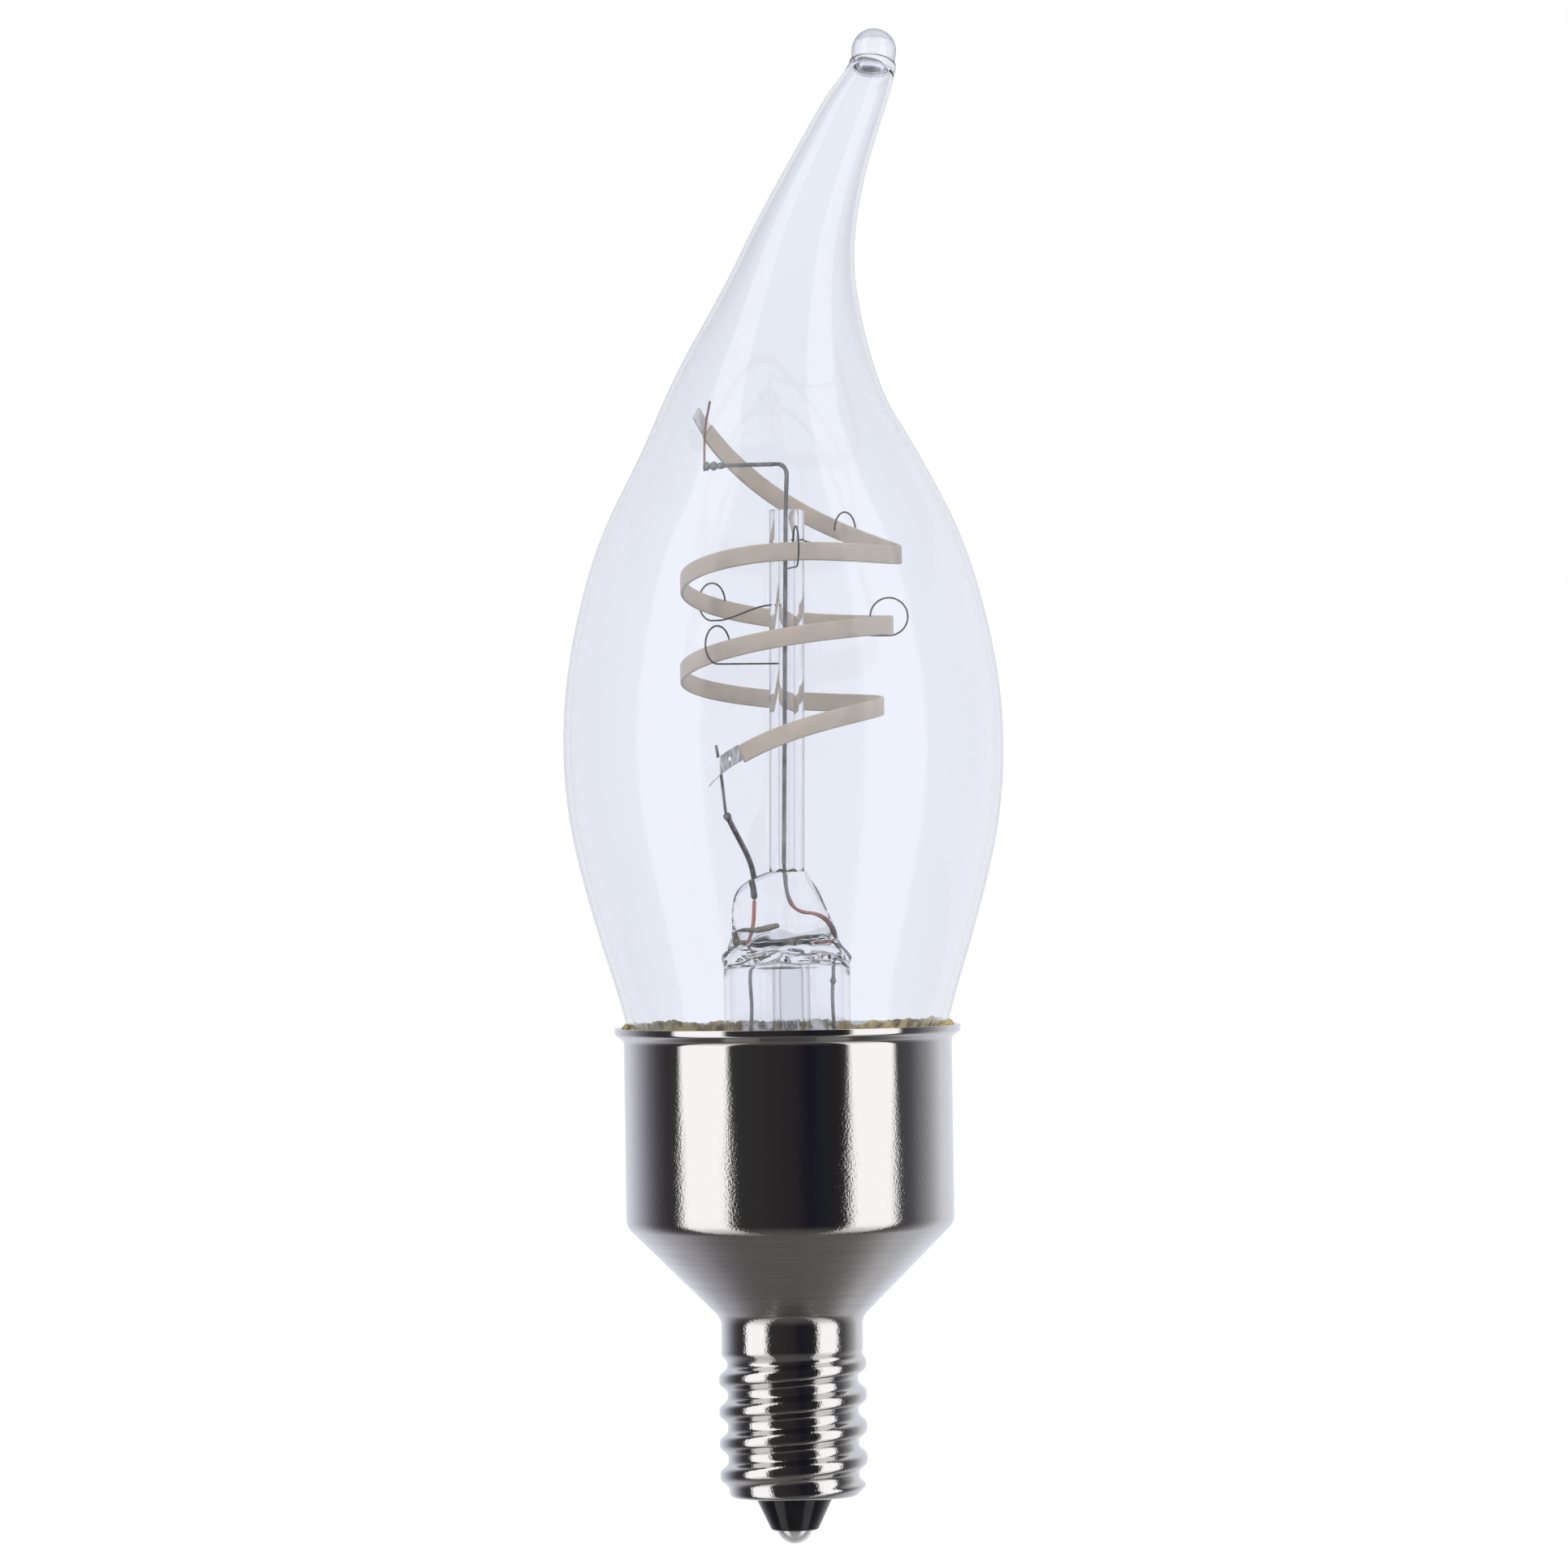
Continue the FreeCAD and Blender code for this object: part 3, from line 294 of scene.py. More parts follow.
def lathe_rings(profile, count, x=0.0):
    around = circle(count)
    return [
        np.column_stack([around * radius + (x, 0), np.full(count, z)]) for radius, z in profile
    ]


def along_path(path, radii, count):
    """Round rings square to a path, turned as little as possible from one to the next."""
    path = np.asarray(path, float)
    ahead = np.gradient(path, axis=0)
    ahead /= np.linalg.norm(ahead, axis=1)[:, None]
    side = np.cross(ahead[0], (0.0, 0.0, 1.0) if abs(ahead[0][2]) < 0.9 else (1.0, 0.0, 0.0))
    around = circle(count)
    rings = []
    for place, heading, radius in zip(path, ahead, radii):
        side = side - heading * side.dot(heading)
        side /= np.linalg.norm(side)
        rings.append(square_ring(place, radius, heading, side, around))
    return rings


def lifted(rows):
    """Rings or points of the glass, moved up from heights above its rim."""
    return [np.array(row) + (0, 0, GLASS_RIM) for row in rows]


def from_rings(rings, closed):
    """Vertices and faces through rings of points. Where the run isn't closed, both ends are."""
    rows = len(rings)
    columns = len(rings[0])
    vertices = [vertex for ring in rings for vertex in ring]
    faces = []
    for row in range(rows if closed else rows - 1):
        above = (row + 1) % rows
        for column in range(columns):
            beside = (column + 1) % columns
            faces.append((row * columns + column, row * columns + beside,
                          above * columns + beside, above * columns + column))
    if not closed:
        start = len(vertices)
        end = start + 1
        last = (rows - 1) * columns
        vertices.append(np.mean(rings[0], axis=0))
        vertices.append(np.mean(rings[-1], axis=0))
        faces += [(start, (column + 1) % columns, column) for column in range(columns)]
        faces += [(end, last + column, last + (column + 1) % columns) for column in range(columns)]
    return vertices, faces


def add_mesh(name, vertices, faces, material, unit):
    """Adds an object whose vertices are counted in the unit, which is in metres."""
    mesh = bpy.data.meshes.new(name)
    mesh.from_pydata([tuple(float(c) * unit for c in v) for v in vertices], [], faces)
    mesh.materials.append(material)
    thing = bpy.data.objects.new(name, mesh)
    bpy.context.scene.collection.objects.link(thing)
    return thing


def add_piece(name, rings, node, slot, material, closed=False):
    """Adds a piece that rides with the part, and hides the node it stands in for, if one is named.
    """
    piece = add_mesh(name, *from_rings(rings, closed), material, MM)
    piece.data.validate()
    piece.data.update()
    for polygon in piece.data.polygons:
        polygon.use_smooth = True
    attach(piece, "root")
    if node:
        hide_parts(node)
    # Clear glass casts hardly any shadow on what is in it
    piece.visible_shadow = not slot.endswith("_glass")


def wire(node, corners, diameter, slot, material, swellings=(), count=14, rounds=4, uneven=0.02,
         ending="_wire"):
    """Drawn wire with rounded ends. Swellings are (place along it, radius, half length)."""
    path, places = even_path(smoothed(corners, rounds), diameter * 0.35)
    radii = np.full(len(path), diameter / 2)
    for place, radius, half_length in swellings:
        if place < 0:
            place += places[-1]
        near = np.clip(1 - ((places - place) / half_length) ** 2, 0, None)
        radii = np.maximum(radii, radius * np.sqrt(near))
    for index, place in enumerate(path):
        radii[index] *= 1 + uneven * noise.noise(Vector(place) * 2.5)
    end = diameter / 2
    for ends in (places, places[-1] - places):
        inside = np.clip(ends / end, 0.08, 1)
        radii = radii * np.sqrt(1 - (1 - inside) ** 2)
    add_piece(node + ending, along_path(path, radii, count), node, slot, material)


# Parts of materials
def new_material(name):
    material = bpy.data.materials.new(name)
    material.use_nodes = True
    return material, material.node_tree, material.node_tree.nodes["Principled BSDF"]


def noise_of(tree, scale, detail, stretch=(1, 1, 1)):
    """Noise in the part's own coordinates, with the scale in waves per metre."""
    place = tree.nodes.new("ShaderNodeTexCoord")
    mapping = tree.nodes.new("ShaderNodeMapping")
    mapping.inputs["Scale"].default_value = stretch
    tree.links.new(place.outputs["Object"], mapping.inputs["Vector"])
    texture = tree.nodes.new("ShaderNodeTexNoise")
    texture.inputs["Scale"].default_value = scale
    texture.inputs["Detail"].default_value = detail
    tree.links.new(mapping.outputs["Vector"], texture.inputs["Vector"])
    return texture.outputs["Fac"]


def ramp(tree, value, stops):
    node = tree.nodes.new("ShaderNodeValToRGB")
    elements = node.color_ramp.elements
    while len(elements) < len(stops):
        elements.new(0.5)
    for element, (place, colour) in zip(elements, stops):
        element.position = place
        element.color = (*colour, 1)
    tree.links.new(value, node.inputs["Fac"])
    return node.outputs["Color"]


def mapped(tree, value, start, end, low=0.0, high=1.0):
    """What runs from start to end, made to run from low to high."""
    node = tree.nodes.new("ShaderNodeMapRange")
    node.inputs["From Min"].default_value = start
    node.inputs["From Max"].default_value = end
    node.inputs["To Min"].default_value = low
    node.inputs["To Max"].default_value = high
    tree.links.new(value, node.inputs["Value"])
    return node.outputs["Result"]


def between(tree, axis, low, high):
    """A share from 0 to 1 as one coordinate of the part goes from low to high, in mm."""
    place = tree.nodes.new("ShaderNodeTexCoord")
    split = tree.nodes.new("ShaderNodeSeparateXYZ")
    tree.links.new(place.outputs["Object"], split.inputs["Vector"])
    return mapped(tree, split.outputs[axis], low * MM, high * MM)


def combined(tree, kind, operation, first, second):
    """Two numbers (Math) or two colours (VectorMath) made into one."""
    node = tree.nodes.new("ShaderNode" + kind)
    node.operation = operation
    tree.links.new(first, node.inputs[0])
    tree.links.new(second, node.inputs[1])
    return node.outputs[0]


def product(tree, first, second):
    return combined(tree, "Math", "MULTIPLY", first, second)


def tinted(tree, first, second):
    return combined(tree, "VectorMath", "MULTIPLY", first, second)


def paint(tree, shader, colour):
    tree.links.new(colour, shader.inputs["Base Color"])


def roughen(tree, shader, value, low, high):
    tree.links.new(mapped(tree, value, 0.0, 1.0, low, high), shader.inputs["Roughness"])


def bump(tree, shader, height, distance):
    node = tree.nodes.new("ShaderNodeBump")
    node.inputs["Distance"].default_value = distance
    tree.links.new(height, node.inputs["Height"])
    tree.links.new(node.outputs["Normal"], shader.inputs["Normal"])


def grey(level, warm=0.0):
    return (level * (1 + warm), level, level * (1 - warm))


def greys(stops):
    return [(at, grey(level)) for at, level in stops]


def solid_material(name, dark, light, scale, roughness, bump_height, metallic=0.0,
                   stretch=(1, 1, 1)):
    """Two tones mixed by noise, with matching roughness and bump."""
    material, tree, shader = new_material(name)
    value = noise_of(tree, scale, 5.0, stretch)
    paint(tree, shader, ramp(tree, value, [(0.32, dark), (0.68, light)]))
    roughen(tree, shader, value, *roughness)
    bump(tree, shader, value, bump_height)
    shader.inputs["Metallic"].default_value = metallic
    return material


# Glass. Edges are (facing, share of the tint that is left): painted shade that darkens glass seen
# edge on.
ENVELOPE_EDGE_SHADE = [(0.25, 1.0), (0.5, 0.985), (0.7, 0.955), (0.85, 0.905), (0.95, 0.80), (1.0, 0.66)]
STEM_EDGE_SHADE = [(0.5, 1.0), (0.75, 0.80), (1.0, 0.42)]
TUBE_EDGE_SHADE = [(0.33, 1.0), (0.5, 0.80), (0.63, 0.38), (1.0, 0.12)]
STEM_TINT = (0.99, 0.99, 1.0)
# In the drawn upper part and in the solid bead the painted edge shade is deeper: facing is
# multiplied by the share of the way in
DRAWN_FROM = GLASS_RIM + 40.0
DRAWN_TO = GLASS_RIM + 70.0
DRAWN_EDGE_SHADE = [(0.08, 1.0), (0.18, 0.977), (0.36, 0.962), (0.43, 0.91), (0.54, 0.86), (0.85, 0.76)]
SOLID_FROM = GLASS_RIM + 83.8
SOLID_RUN = 0.6
SOLID_EDGE_SHADE = [(0.0, (1.0, 1.0, 1.0)), (0.08, (0.95, 0.955, 0.99)), (0.45, (0.93, 0.935, 0.98)),
               (0.62, (0.55, 0.55, 0.60)), (0.8, (0.12, 0.12, 0.14))]


def drawn_out(tree, facing, colour):
    """The colour, with painted shade deeper at the outline where the glass is drawn out and where
    it is solid.
    """
    drawn = between(tree, "Z", DRAWN_FROM, DRAWN_TO)
    outline = ramp(tree, product(tree, drawn, facing), greys(DRAWN_EDGE_SHADE))
    colour = tinted(tree, colour, outline)
    in_bead = between(tree, "Z", SOLID_FROM, SOLID_FROM + SOLID_RUN)
    outline = ramp(tree, product(tree, in_bead, facing), SOLID_EDGE_SHADE)
    return tinted(tree, colour, outline)


def glass_material(name, tint, edge_shade, gloss, drawn=False):
    material, tree, shader = new_material(name)
    shader.inputs["Transmission Weight"].default_value = 1.0
    shader.inputs["Roughness"].default_value = 0.0
    shader.inputs["IOR"].default_value = 1.5
    shader.inputs["Specular IOR Level"].default_value = gloss
    value = noise_of(tree, 60.0, 1.0, (1, 1, 0.35))
    pale = tuple(c * 0.99 for c in tint)
    clear = ramp(tree, value, [(0.3, pale), (0.7, tint)])
    facing = tree.nodes.new("ShaderNodeLayerWeight").outputs["Facing"]
    # Painted shade: the tint darkens as the glass is seen more edge on
    colour = tinted(tree, clear, ramp(tree, facing, greys(edge_shade)))
    if drawn:
        colour = drawn_out(tree, facing, colour)
    paint(tree, shader, colour)
    bump(tree, shader, value, 0.000002)
    return material


envelope_glass = glass_material("envelope_glass", (0.918, 0.935, 0.984), ENVELOPE_EDGE_SHADE, 0.25,
                                drawn=True)
stem_glass = glass_material("stem_glass", STEM_TINT, STEM_EDGE_SHADE, 0.4)
tube_glass = glass_material("tube_glass", STEM_TINT, TUBE_EDGE_SHADE, 0.35)
# Dark solid for the painted shade of melted folds and bubbles in clear glass
melt_glass = solid_material("melt_glass", (0.05, 0.045, 0.03), (0.30, 0.28, 0.20), 1500.0,
                            (0.05, 0.3), 0.00005)
# Dark solid for the painted shade in the crease of the clear glass
crease_glass = solid_material("crease_glass", grey(0.06), grey(0.34), 900.0, (0.1, 0.3), 0.00001)
scar_glass = solid_material("scar_glass", grey(0.16), grey(0.38), 1800.0, (0.1, 0.3), 0.00003)


# Metals
def shell_metal():
    """Bright nickel with a fine grain towards the foot of the skirt, and streaks on the cone."""
    material, tree, shader = new_material("shell_nickel")
    on_cone = product(tree, between(tree, "Z", 17.0, 18.5), between(tree, "Z", 26.5, 25.0))
    streaks = product(tree, noise_of(tree, 900.0, 6.0, (0.12, 0.12, 5.0)), on_cone)
    grain = product(tree, noise_of(tree, 6000.0, 2.0), between(tree, "Z", 41.0, 31.0))
    paint(tree, shader, ramp(tree, streaks, [
        (0.0, (0.635, 0.625, 0.618)), (0.35, (0.62, 0.606, 0.596)), (0.7, (0.69, 0.68, 0.67))]))
    shader.inputs["Metallic"].default_value = 1.0
    roughen(tree, shader, streaks, 0.06, 0.14)
    bump(tree, shader, grain, 0.000012)
    return material


def weld_metal():
    """Copper that is grey and burnt at its two ends."""
    material, tree, shader = new_material("seal_weld")
    paint(tree, shader, ramp(tree, between(tree, "X", -0.2, 4.0), [
        (0.0, grey(0.38)), (0.09, grey(0.24)), (0.16, (0.40, 0.16, 0.13)),
        (0.55, (0.62, 0.30, 0.25)), (0.72, (0.34, 0.14, 0.12)), (0.85, (0.10, 0.06, 0.05))]))
    marks = noise_of(tree, 1800.0, 3.0)
    roughen(tree, shader, marks, 0.2, 0.5)
    bump(tree, shader, marks, 0.00004)
    shader.inputs["Metallic"].default_value = 0.4
    return material


def lower_foil():
    """Grey hatched foil, with a painted reflection that makes its outer end white."""
    material, tree, shader = new_material("terminal_foil_lower")
    hatching = noise_of(tree, 3000.0, 2.0, (3, 3, 0.4))
    # Painted reflection: white towards the outer end of the foil
    painted_glint = ramp(tree, between(tree, "X", -4.95, -5.1), greys([(0.0, 0.0), (1.0, 1.0)]))
    mix = tree.nodes.new("ShaderNodeMix")
    mix.data_type = "RGBA"
    tree.links.new(painted_glint, mix.inputs["Factor"])
    tree.links.new(ramp(tree, hatching, greys([(0.4, 0.24), (0.6, 0.60)])), mix.inputs["A"])
    mix.inputs["B"].default_value = (0.98, 0.98, 0.965, 1)
    paint(tree, shader, mix.outputs["Result"])
    roughen(tree, shader, hatching, 0.25, 0.4)
    bump(tree, shader, hatching, 0.00001)
    return material


shell_nickel = shell_metal()
# Nickel painted whiter and less metallic than it is: a painted reflection that keeps the contact
# bright
contact_nickel = solid_material("contact_nickel", grey(0.78, 0.01), grey(0.90, 0.01), 2500.0,
                                (0.10, 0.22), 0.000004, 0.7)
lead_nickel = solid_material("lead_nickel", grey(0.10, 0.05), grey(0.34, 0.03), 1400.0,
                             (0.25, 0.5), 0.00001, 0.9, (1, 1, 0.4))
pin_copper = solid_material("pin_copper", (0.20, 0.11, 0.08), (0.55, 0.30, 0.21), 1500.0,
                            (0.25, 0.45), 0.00001, 0.9, (1, 1, 0.3))
seal_copper = solid_material("seal_copper", (0.34, 0.10, 0.08), (0.66, 0.27, 0.20), 1300.0,
                             (0.3, 0.5), 0.00001, 0.3, (1, 1, 0.5))
seal_weld = weld_metal()
outer_wire = solid_material("outer_wire", grey(0.16), grey(0.40), 1600.0, (0.3, 0.5), 0.00001, 0.7)
hook_wire = solid_material("hook_wire", grey(0.035), grey(0.14), 1800.0, (0.3, 0.5), 0.000005, 0.8)
foil_upper = solid_material("terminal_foil_upper", grey(0.62, 0.01), grey(0.88, 0.01), 2600.0,
                            (0.25, 0.45), 0.00001, 0.5, (4, 4, 0.5))
foil_lower = lower_foil()
tinned = solid_material("wire_tinned", grey(0.45), grey(0.65), 1500.0, (0.2, 0.4), 0.00001, 0.9)


# Silicone, cement and what the driver is made of
def strip_silicone():
    material, tree, shader = new_material("filament_silicone")
    mottle = noise_of(tree, 700.0, 4.0)
    paint(tree, shader, ramp(tree, mottle, [
        (0.3, (0.465, 0.398, 0.325)), (0.7, (0.535, 0.462, 0.38))]))
    shader.inputs["Roughness"].default_value = 0.45
    shader.inputs["Subsurface Weight"].default_value = 0.15
    shader.inputs["Subsurface Radius"].default_value = (0.0005, 0.0004, 0.0003)
    bump(tree, shader, mottle, 0.00003)
    return material


def crumbly_cement():
    """Brown at the left, ochre at the right and grey between them, where the grey is a painted
    reflection of the glass in front.
    """
    material, tree, shader = new_material("basing_cement")
    crumbs = noise_of(tree, 900.0, 8.0)
    crumb_tone = ramp(tree, crumbs, [(0.40, (0.22, 0.20, 0.17)), (0.60, (1.0, 1.0, 1.0))])
    # The grey middle is a painted reflection of the stem glass in front of the cement
    side_tone_and_reflection = ramp(tree, between(tree, "X", -13.5, 13.5), [
        (0.05, (0.44, 0.37, 0.17)), (0.295, (0.32, 0.24, 0.09)), (0.325, (0.62, 0.62, 0.61)),
        (0.67, (0.62, 0.62, 0.60)), (0.70, (0.64, 0.50, 0.20)), (1.0, (0.54, 0.42, 0.17))])
    paint(tree, shader, tinted(tree, crumb_tone, side_tone_and_reflection))
    roughen(tree, shader, crumbs, 0.7, 0.95)
    bump(tree, shader, crumbs, 0.0003)
    return material


silicone = strip_silicone()
cement = crumbly_cement()
insulator_black = solid_material("insulator_black", (0.004, 0.004, 0.005), (0.011, 0.011, 0.013),
                                 600.0, (0.06, 0.16), 0.00001)
board_green = solid_material("board_laminate", (0.03, 0.12, 0.06), (0.06, 0.20, 0.10), 500.0,
                             (0.35, 0.5), 0.00001)
can_sleeve = solid_material("capacitor_sleeve", (0.012, 0.014, 0.02), (0.03, 0.034, 0.045), 300.0,
                            (0.3, 0.4), 0.00001)
chip_black = solid_material("chip_black", (0.012, 0.012, 0.013), (0.03, 0.03, 0.032), 2500.0,
                            (0.5, 0.7), 0.00001)
resistor_paint = solid_material("resistor_body", (0.18, 0.26, 0.30), (0.28, 0.38, 0.42), 900.0,
                                (0.4, 0.6), 0.00002)
film_box = solid_material("film_box", (0.55, 0.40, 0.05), (0.70, 0.52, 0.10), 400.0, (0.35, 0.5),
                          0.00001)
sleeve_white = solid_material("sleeve_white", (0.70, 0.70, 0.68), (0.80, 0.80, 0.78), 300.0,
                              (0.4, 0.55), 0.00001)

# Nodes that stay as they are, with new materials
KEPT_NODES = {
    "driver_board": board_green,
    "smoothing_capacitor": can_sleeve,
    "bridge_rectifier": chip_black,
    "driver_chip": chip_black,
    "fuse_resistor": resistor_paint,
    "film_capacitor": film_box,
    "insulating_sleeve": sleeve_white,
    "contact_wire": tinned,
    "shell_wire": tinned,
    "filament_terminal_lower": foil_lower,
}
for node, material in KEPT_NODES.items():
    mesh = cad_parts[node].data
    mesh.materials.clear()
    mesh.materials.append(material)


# Glass envelope, with the tip drawn out, bent over and sealed with a bead
def share_of_run(heights, run):
    return smooth_share((heights - run[0]) / run[1])


def envelope_line(inside):
    """Centres and radii of the envelope's rings, from its rim to the drawn end."""
    stations = np.array(ENVELOPE_STATIONS)
    run = run_along(stations[:, :3])
    places = np.concatenate([np.linspace(0, run[BEND_STATION], 64)[:-1],
                             np.linspace(run[BEND_STATION], run[-1], 90)])
    line = spline(run, stations, places)
    centres = line[:, :3]
    radii = np.minimum(line[:, 3], GLASS_RADIUS)
    if inside:
        wall = WALL_BELOW + (WALL_AT_TIP - WALL_BELOW) * smooth_share(places / run[-1])
        radii = np.maximum(radii - wall, CAVITY_RADIUS)
        centres, radii = centres[:-1], radii[:-1]
    centres[:, :2] *= share_of_run(centres[:, 2], LEAVES_AXIS)[:, None]
    return centres, radii


def bent_rings(line, end, end_heading):
    """Rings that tip over with the centre line and end square to the bead's heading."""
    centres = np.vstack([line[0], end[0]])
    radii = np.concatenate([line[1], end[1]])
    ahead = np.gradient(centres, axis=0)
    ahead /= np.linalg.norm(ahead, axis=1)[:, None]
    tipping = share_of_run(centres[:, 2], RINGS_TIP)
    ahead = ahead * tipping[:, None] + np.outer(1 - tipping, (0, 0, 1))
    turning = share_of_run(centres[:, 2], RINGS_TURN)
    ahead = ahead * (1 - turning[:, None]) + np.outer(turning, end_heading)
    ahead /= np.linalg.norm(ahead, axis=1)[:, None]
    around = circle(ENVELOPE_COLUMNS)
    rings = []
    for place, heading, radius in zip(centres, ahead, radii):
        side = np.array((1.0, 0.0, 0.0)) - heading * heading[0]
        side /= np.linalg.norm(side)
        rings.append(square_ring(place, radius, heading, side, around))
    return rings


def bead_rounds(foot, up, reach):
    """Centres and radii of the bead, from the end of the drawn glass to its top."""
    centres, radii = [], []
    for share in (0.12, 0.22, 0.32, 0.55, 0.8):
        centres.append(foot + up * reach * share)
        radii.append(BEAD_FOOT_RADIUS + (BEAD_RADIUS - BEAD_FOOT_RADIUS) * share)
    radii[0] = BEAD_RADIUS
    for step in range(16):
        angle = math.radians(90 * step / 16)
        centres.append(np.array(BEAD_CENTRE) + up * BEAD_RADIUS * math.sin(angle))
        radii.append(BEAD_RADIUS * math.cos(angle))
    return centres, radii


def add_envelope(foot, up, reach):
    outer = bent_rings(envelope_line(False), bead_rounds(foot, up, reach), up)
    centres, radii = envelope_line(True)
    cavity_end = ([centres[-1] + up * rise for rise, share in CAVITY_END],
                  [radii[-1] * share for rise, share in CAVITY_END])
    inner = bent_rings((centres, radii), cavity_end, up)
    add_piece("glass_envelope_smooth", lifted(inner[::-1] + outer), "glass_envelope",
              "envelope_glass", envelope_glass)


def add_tip_marks(foot, up):
    """Painted shade in the crease under the bead, and the scar where the tip was melted shut."""
    side = np.cross((0.0, 1.0, 0.0), up)
    side /= np.linalg.norm(side)
    front = np.cross(up, side)
    centre = foot + up * CREASE_RISE
    rings = []
    for turn in np.linspace(0, 2 * math.pi, 120, endpoint=False):
        place = centre + (side * math.cos(turn) + front * math.sin(turn)) * CREASE_RADIUS
        out = (place - centre) / CREASE_RADIUS
        thick = CREASE_THICKNESS * (1 + 0.5 * noise.noise(Vector(place) * 1.3))
        rings.append(np.array([place + (up * x + out * y) * thick for x, y in circle(8)]))
    add_piece("tip_crease_shade", lifted(rings), None, "envelope_glass", crease_glass, closed=True)
    across = np.linspace(-0.82, 0.66, 24)
    path = [centre - up * SCAR_DROP + side * x + front * 0.1 * x * x for x in across]
    radii = [SCAR_RADIUS * math.sqrt(max(0.05, 1 - ((x + 0.08) / 0.76) ** 4)) for x in across]
    add_piece("tip_seal_scar", lifted(along_path(path, radii, 12)), None, "envelope_glass",
              scar_glass)


drawn_end = envelope_line(False)[0][-1]
to_bead = np.array(BEAD_CENTRE) - drawn_end
bead_reach = np.linalg.norm(to_bead)
bead_heading = to_bead / bead_reach
add_envelope(drawn_end, bead_heading, bead_reach)
add_tip_marks(drawn_end, bead_heading)


# Stem: flare and press, with melted folds between them
def super_ring(z, left, right, half_depth, squareness):
    across, along = circle(STEM_COLUMNS).T
    half_width = (right - left) / 2
    x = (left + right) / 2 + half_width * np.sign(across) * np.abs(across) ** (2 / squareness)
    y = half_depth * np.sign(along) * np.abs(along) ** (2 / squareness)
    return np.column_stack([x, y, np.full(STEM_COLUMNS, z)])


def press_rings():
    sections = np.array(PRESS_SECTIONS)
    run = run_along(sections[:, :4])
    rings = []
    places = np.linspace(0, run[-1], 60)
    for z, left, right, half_depth, squareness in spline(run, sections, places):
        ring = super_ring(z, left, right, half_depth, squareness)
        melted = smooth_share(np.array([(z - PRESS_START) / 1.2, (16.0 - z) / 2.0])).prod()
        for spot in ring:
            spot += np.array(noise.noise_vector(Vector(spot) * 0.6)) * MELTED_SHIFT * melted
        rings.append(ring)
    return rings


def hollow_rings(bore):
    """Roof of the hollow under the press, from its top down to the bore of the flare."""
    rings = []
    for turn in np.linspace(math.pi / 2, 0, 14)[1:]:
        wide, high = math.cos(turn), math.sin(turn)
        z = PRESS_START + (HOLLOW_TOP - PRESS_START) * high
        half_width = HOLLOW_HALF_WIDTH * wide + 0.1
        ring = super_ring(z, -half_width, half_width, bore * wide, 2.0)
        for spot in ring:
            spot += np.array(noise.noise_vector(Vector(spot) * 0.75)) * MELTED_SHIFT * high
            spot[2] = min(spot[2], HOLLOW_TOP + 0.2)
        rings.append(ring)
    return rings


def stem_rings():
    outside = filleted([(GLASS_RIM_RADIUS, 0.0), (FLARE_LEDGE, 0.0), (FLARE_RADIUS, TRUMPET_HEIGHT),
                        (FLARE_RADIUS, PRESS_START)], [0.6, 3.5])
    outer = lathe_rings(divided(outside, 0.8)[:-1], STEM_COLUMNS) + press_rings()
    bore = FLARE_RADIUS - FLARE_WALL
    inside = filleted([(bore, PRESS_START), (bore, 2.0), (10.4, -FLARE_WALL),
                       (GLASS_RIM_RADIUS, -FLARE_WALL)], [3.0, 0.4])
    inner = hollow_rings(bore) + lathe_rings(divided(inside, 0.8)[1:], STEM_COLUMNS)
    return inner + outer


# Noise vectors start from the clock unless a seed is set
noise.seed_set(1)
add_piece("stem_flare_smooth", lifted(stem_rings()), "stem_flare", "stem_glass", stem_glass)


# Folds and bubbles where the press was melted, as (x, height above the rim). The dark ones are
# painted shade in the clear glass.
def fold(name, corners, radii, depth, material, uneven=0.25):
    path, places = even_path(smoothed([(x, depth, z) for x, z in corners]), 0.08)
    wide = np.interp(places / places[-1], np.linspace(0, 1, len(radii)), radii)
    for index, place in enumerate(path):
        wide[index] *= 1 + uneven * noise.noise(Vector(place) * 4.0)
    add_piece(name, lifted(along_path(path, wide, 12)), None, "stem_glass", material)


def swirl_route():
    return [(2.75 + (1.15 - turn * 0.085) * math.cos(turn),
             14.35 + (0.95 - turn * 0.07) * math.sin(turn)) for turn in np.linspace(2.6, 12.0, 30)]


fold("press_fold_band", [(-4.2, 15.2), (-3.4, 15.45), (-2.2, 15.3), (-0.55, 15.75)],
     [0.05, 0.14, 0.2, 0.26, 0.3, 0.16], -0.7, melt_glass)
fold("press_fold_wedge", [(-4.0, 15.1), (-3.95, 14.6), (-3.9, 13.9)],
     [0.1, 0.34, 0.3, 0.05], -0.9, melt_glass)
fold("press_blow_hole", [(-0.5, 14.6), (0.1, 14.3), (0.7, 14.5), (1.4, 14.15)],
     [0.06, 0.26, 0.4, 0.22, 0.3, 0.08], -1.1, melt_glass, 0.9)
fold("press_fold_left", [(-4.0, 13.5), (-3.2, 13.9), (-2.4, 14.8), (-1.2, 15.2)],
     [0.03, 0.07, 0.09, 0.04], -1.0, tube_glass)
fold("press_fold_low", [(-3.1, 13.35), (-1.6, 13.1), (0.6, 12.75), (2.4, 12.8), (3.5, 13.3)],
     [0.05, 0.1, 0.12, 0.1, 0.05], -1.9, tube_glass)
fold("press_swirl", swirl_route(), [0.05, 0.13, 0.1, 0.14, 0.09, 0.05], -0.9, tube_glass, 0.5)
fold("post_weld", [(-0.75, 20.02), (-0.3, 20.16), (0.2, 20.02), (0.6, 20.15), (0.95, 20.04)],
     [0.05, 0.13, 0.08, 0.16, 0.05], -1.1, melt_glass, 0.6)
fold("press_swirl_core", [(1.9, 13.9), (2.5, 14.2), (3.2, 14.0), (3.7, 14.6)],
     [0.05, 0.16, 0.1, 0.04], -0.5, seal_copper, 0.5)


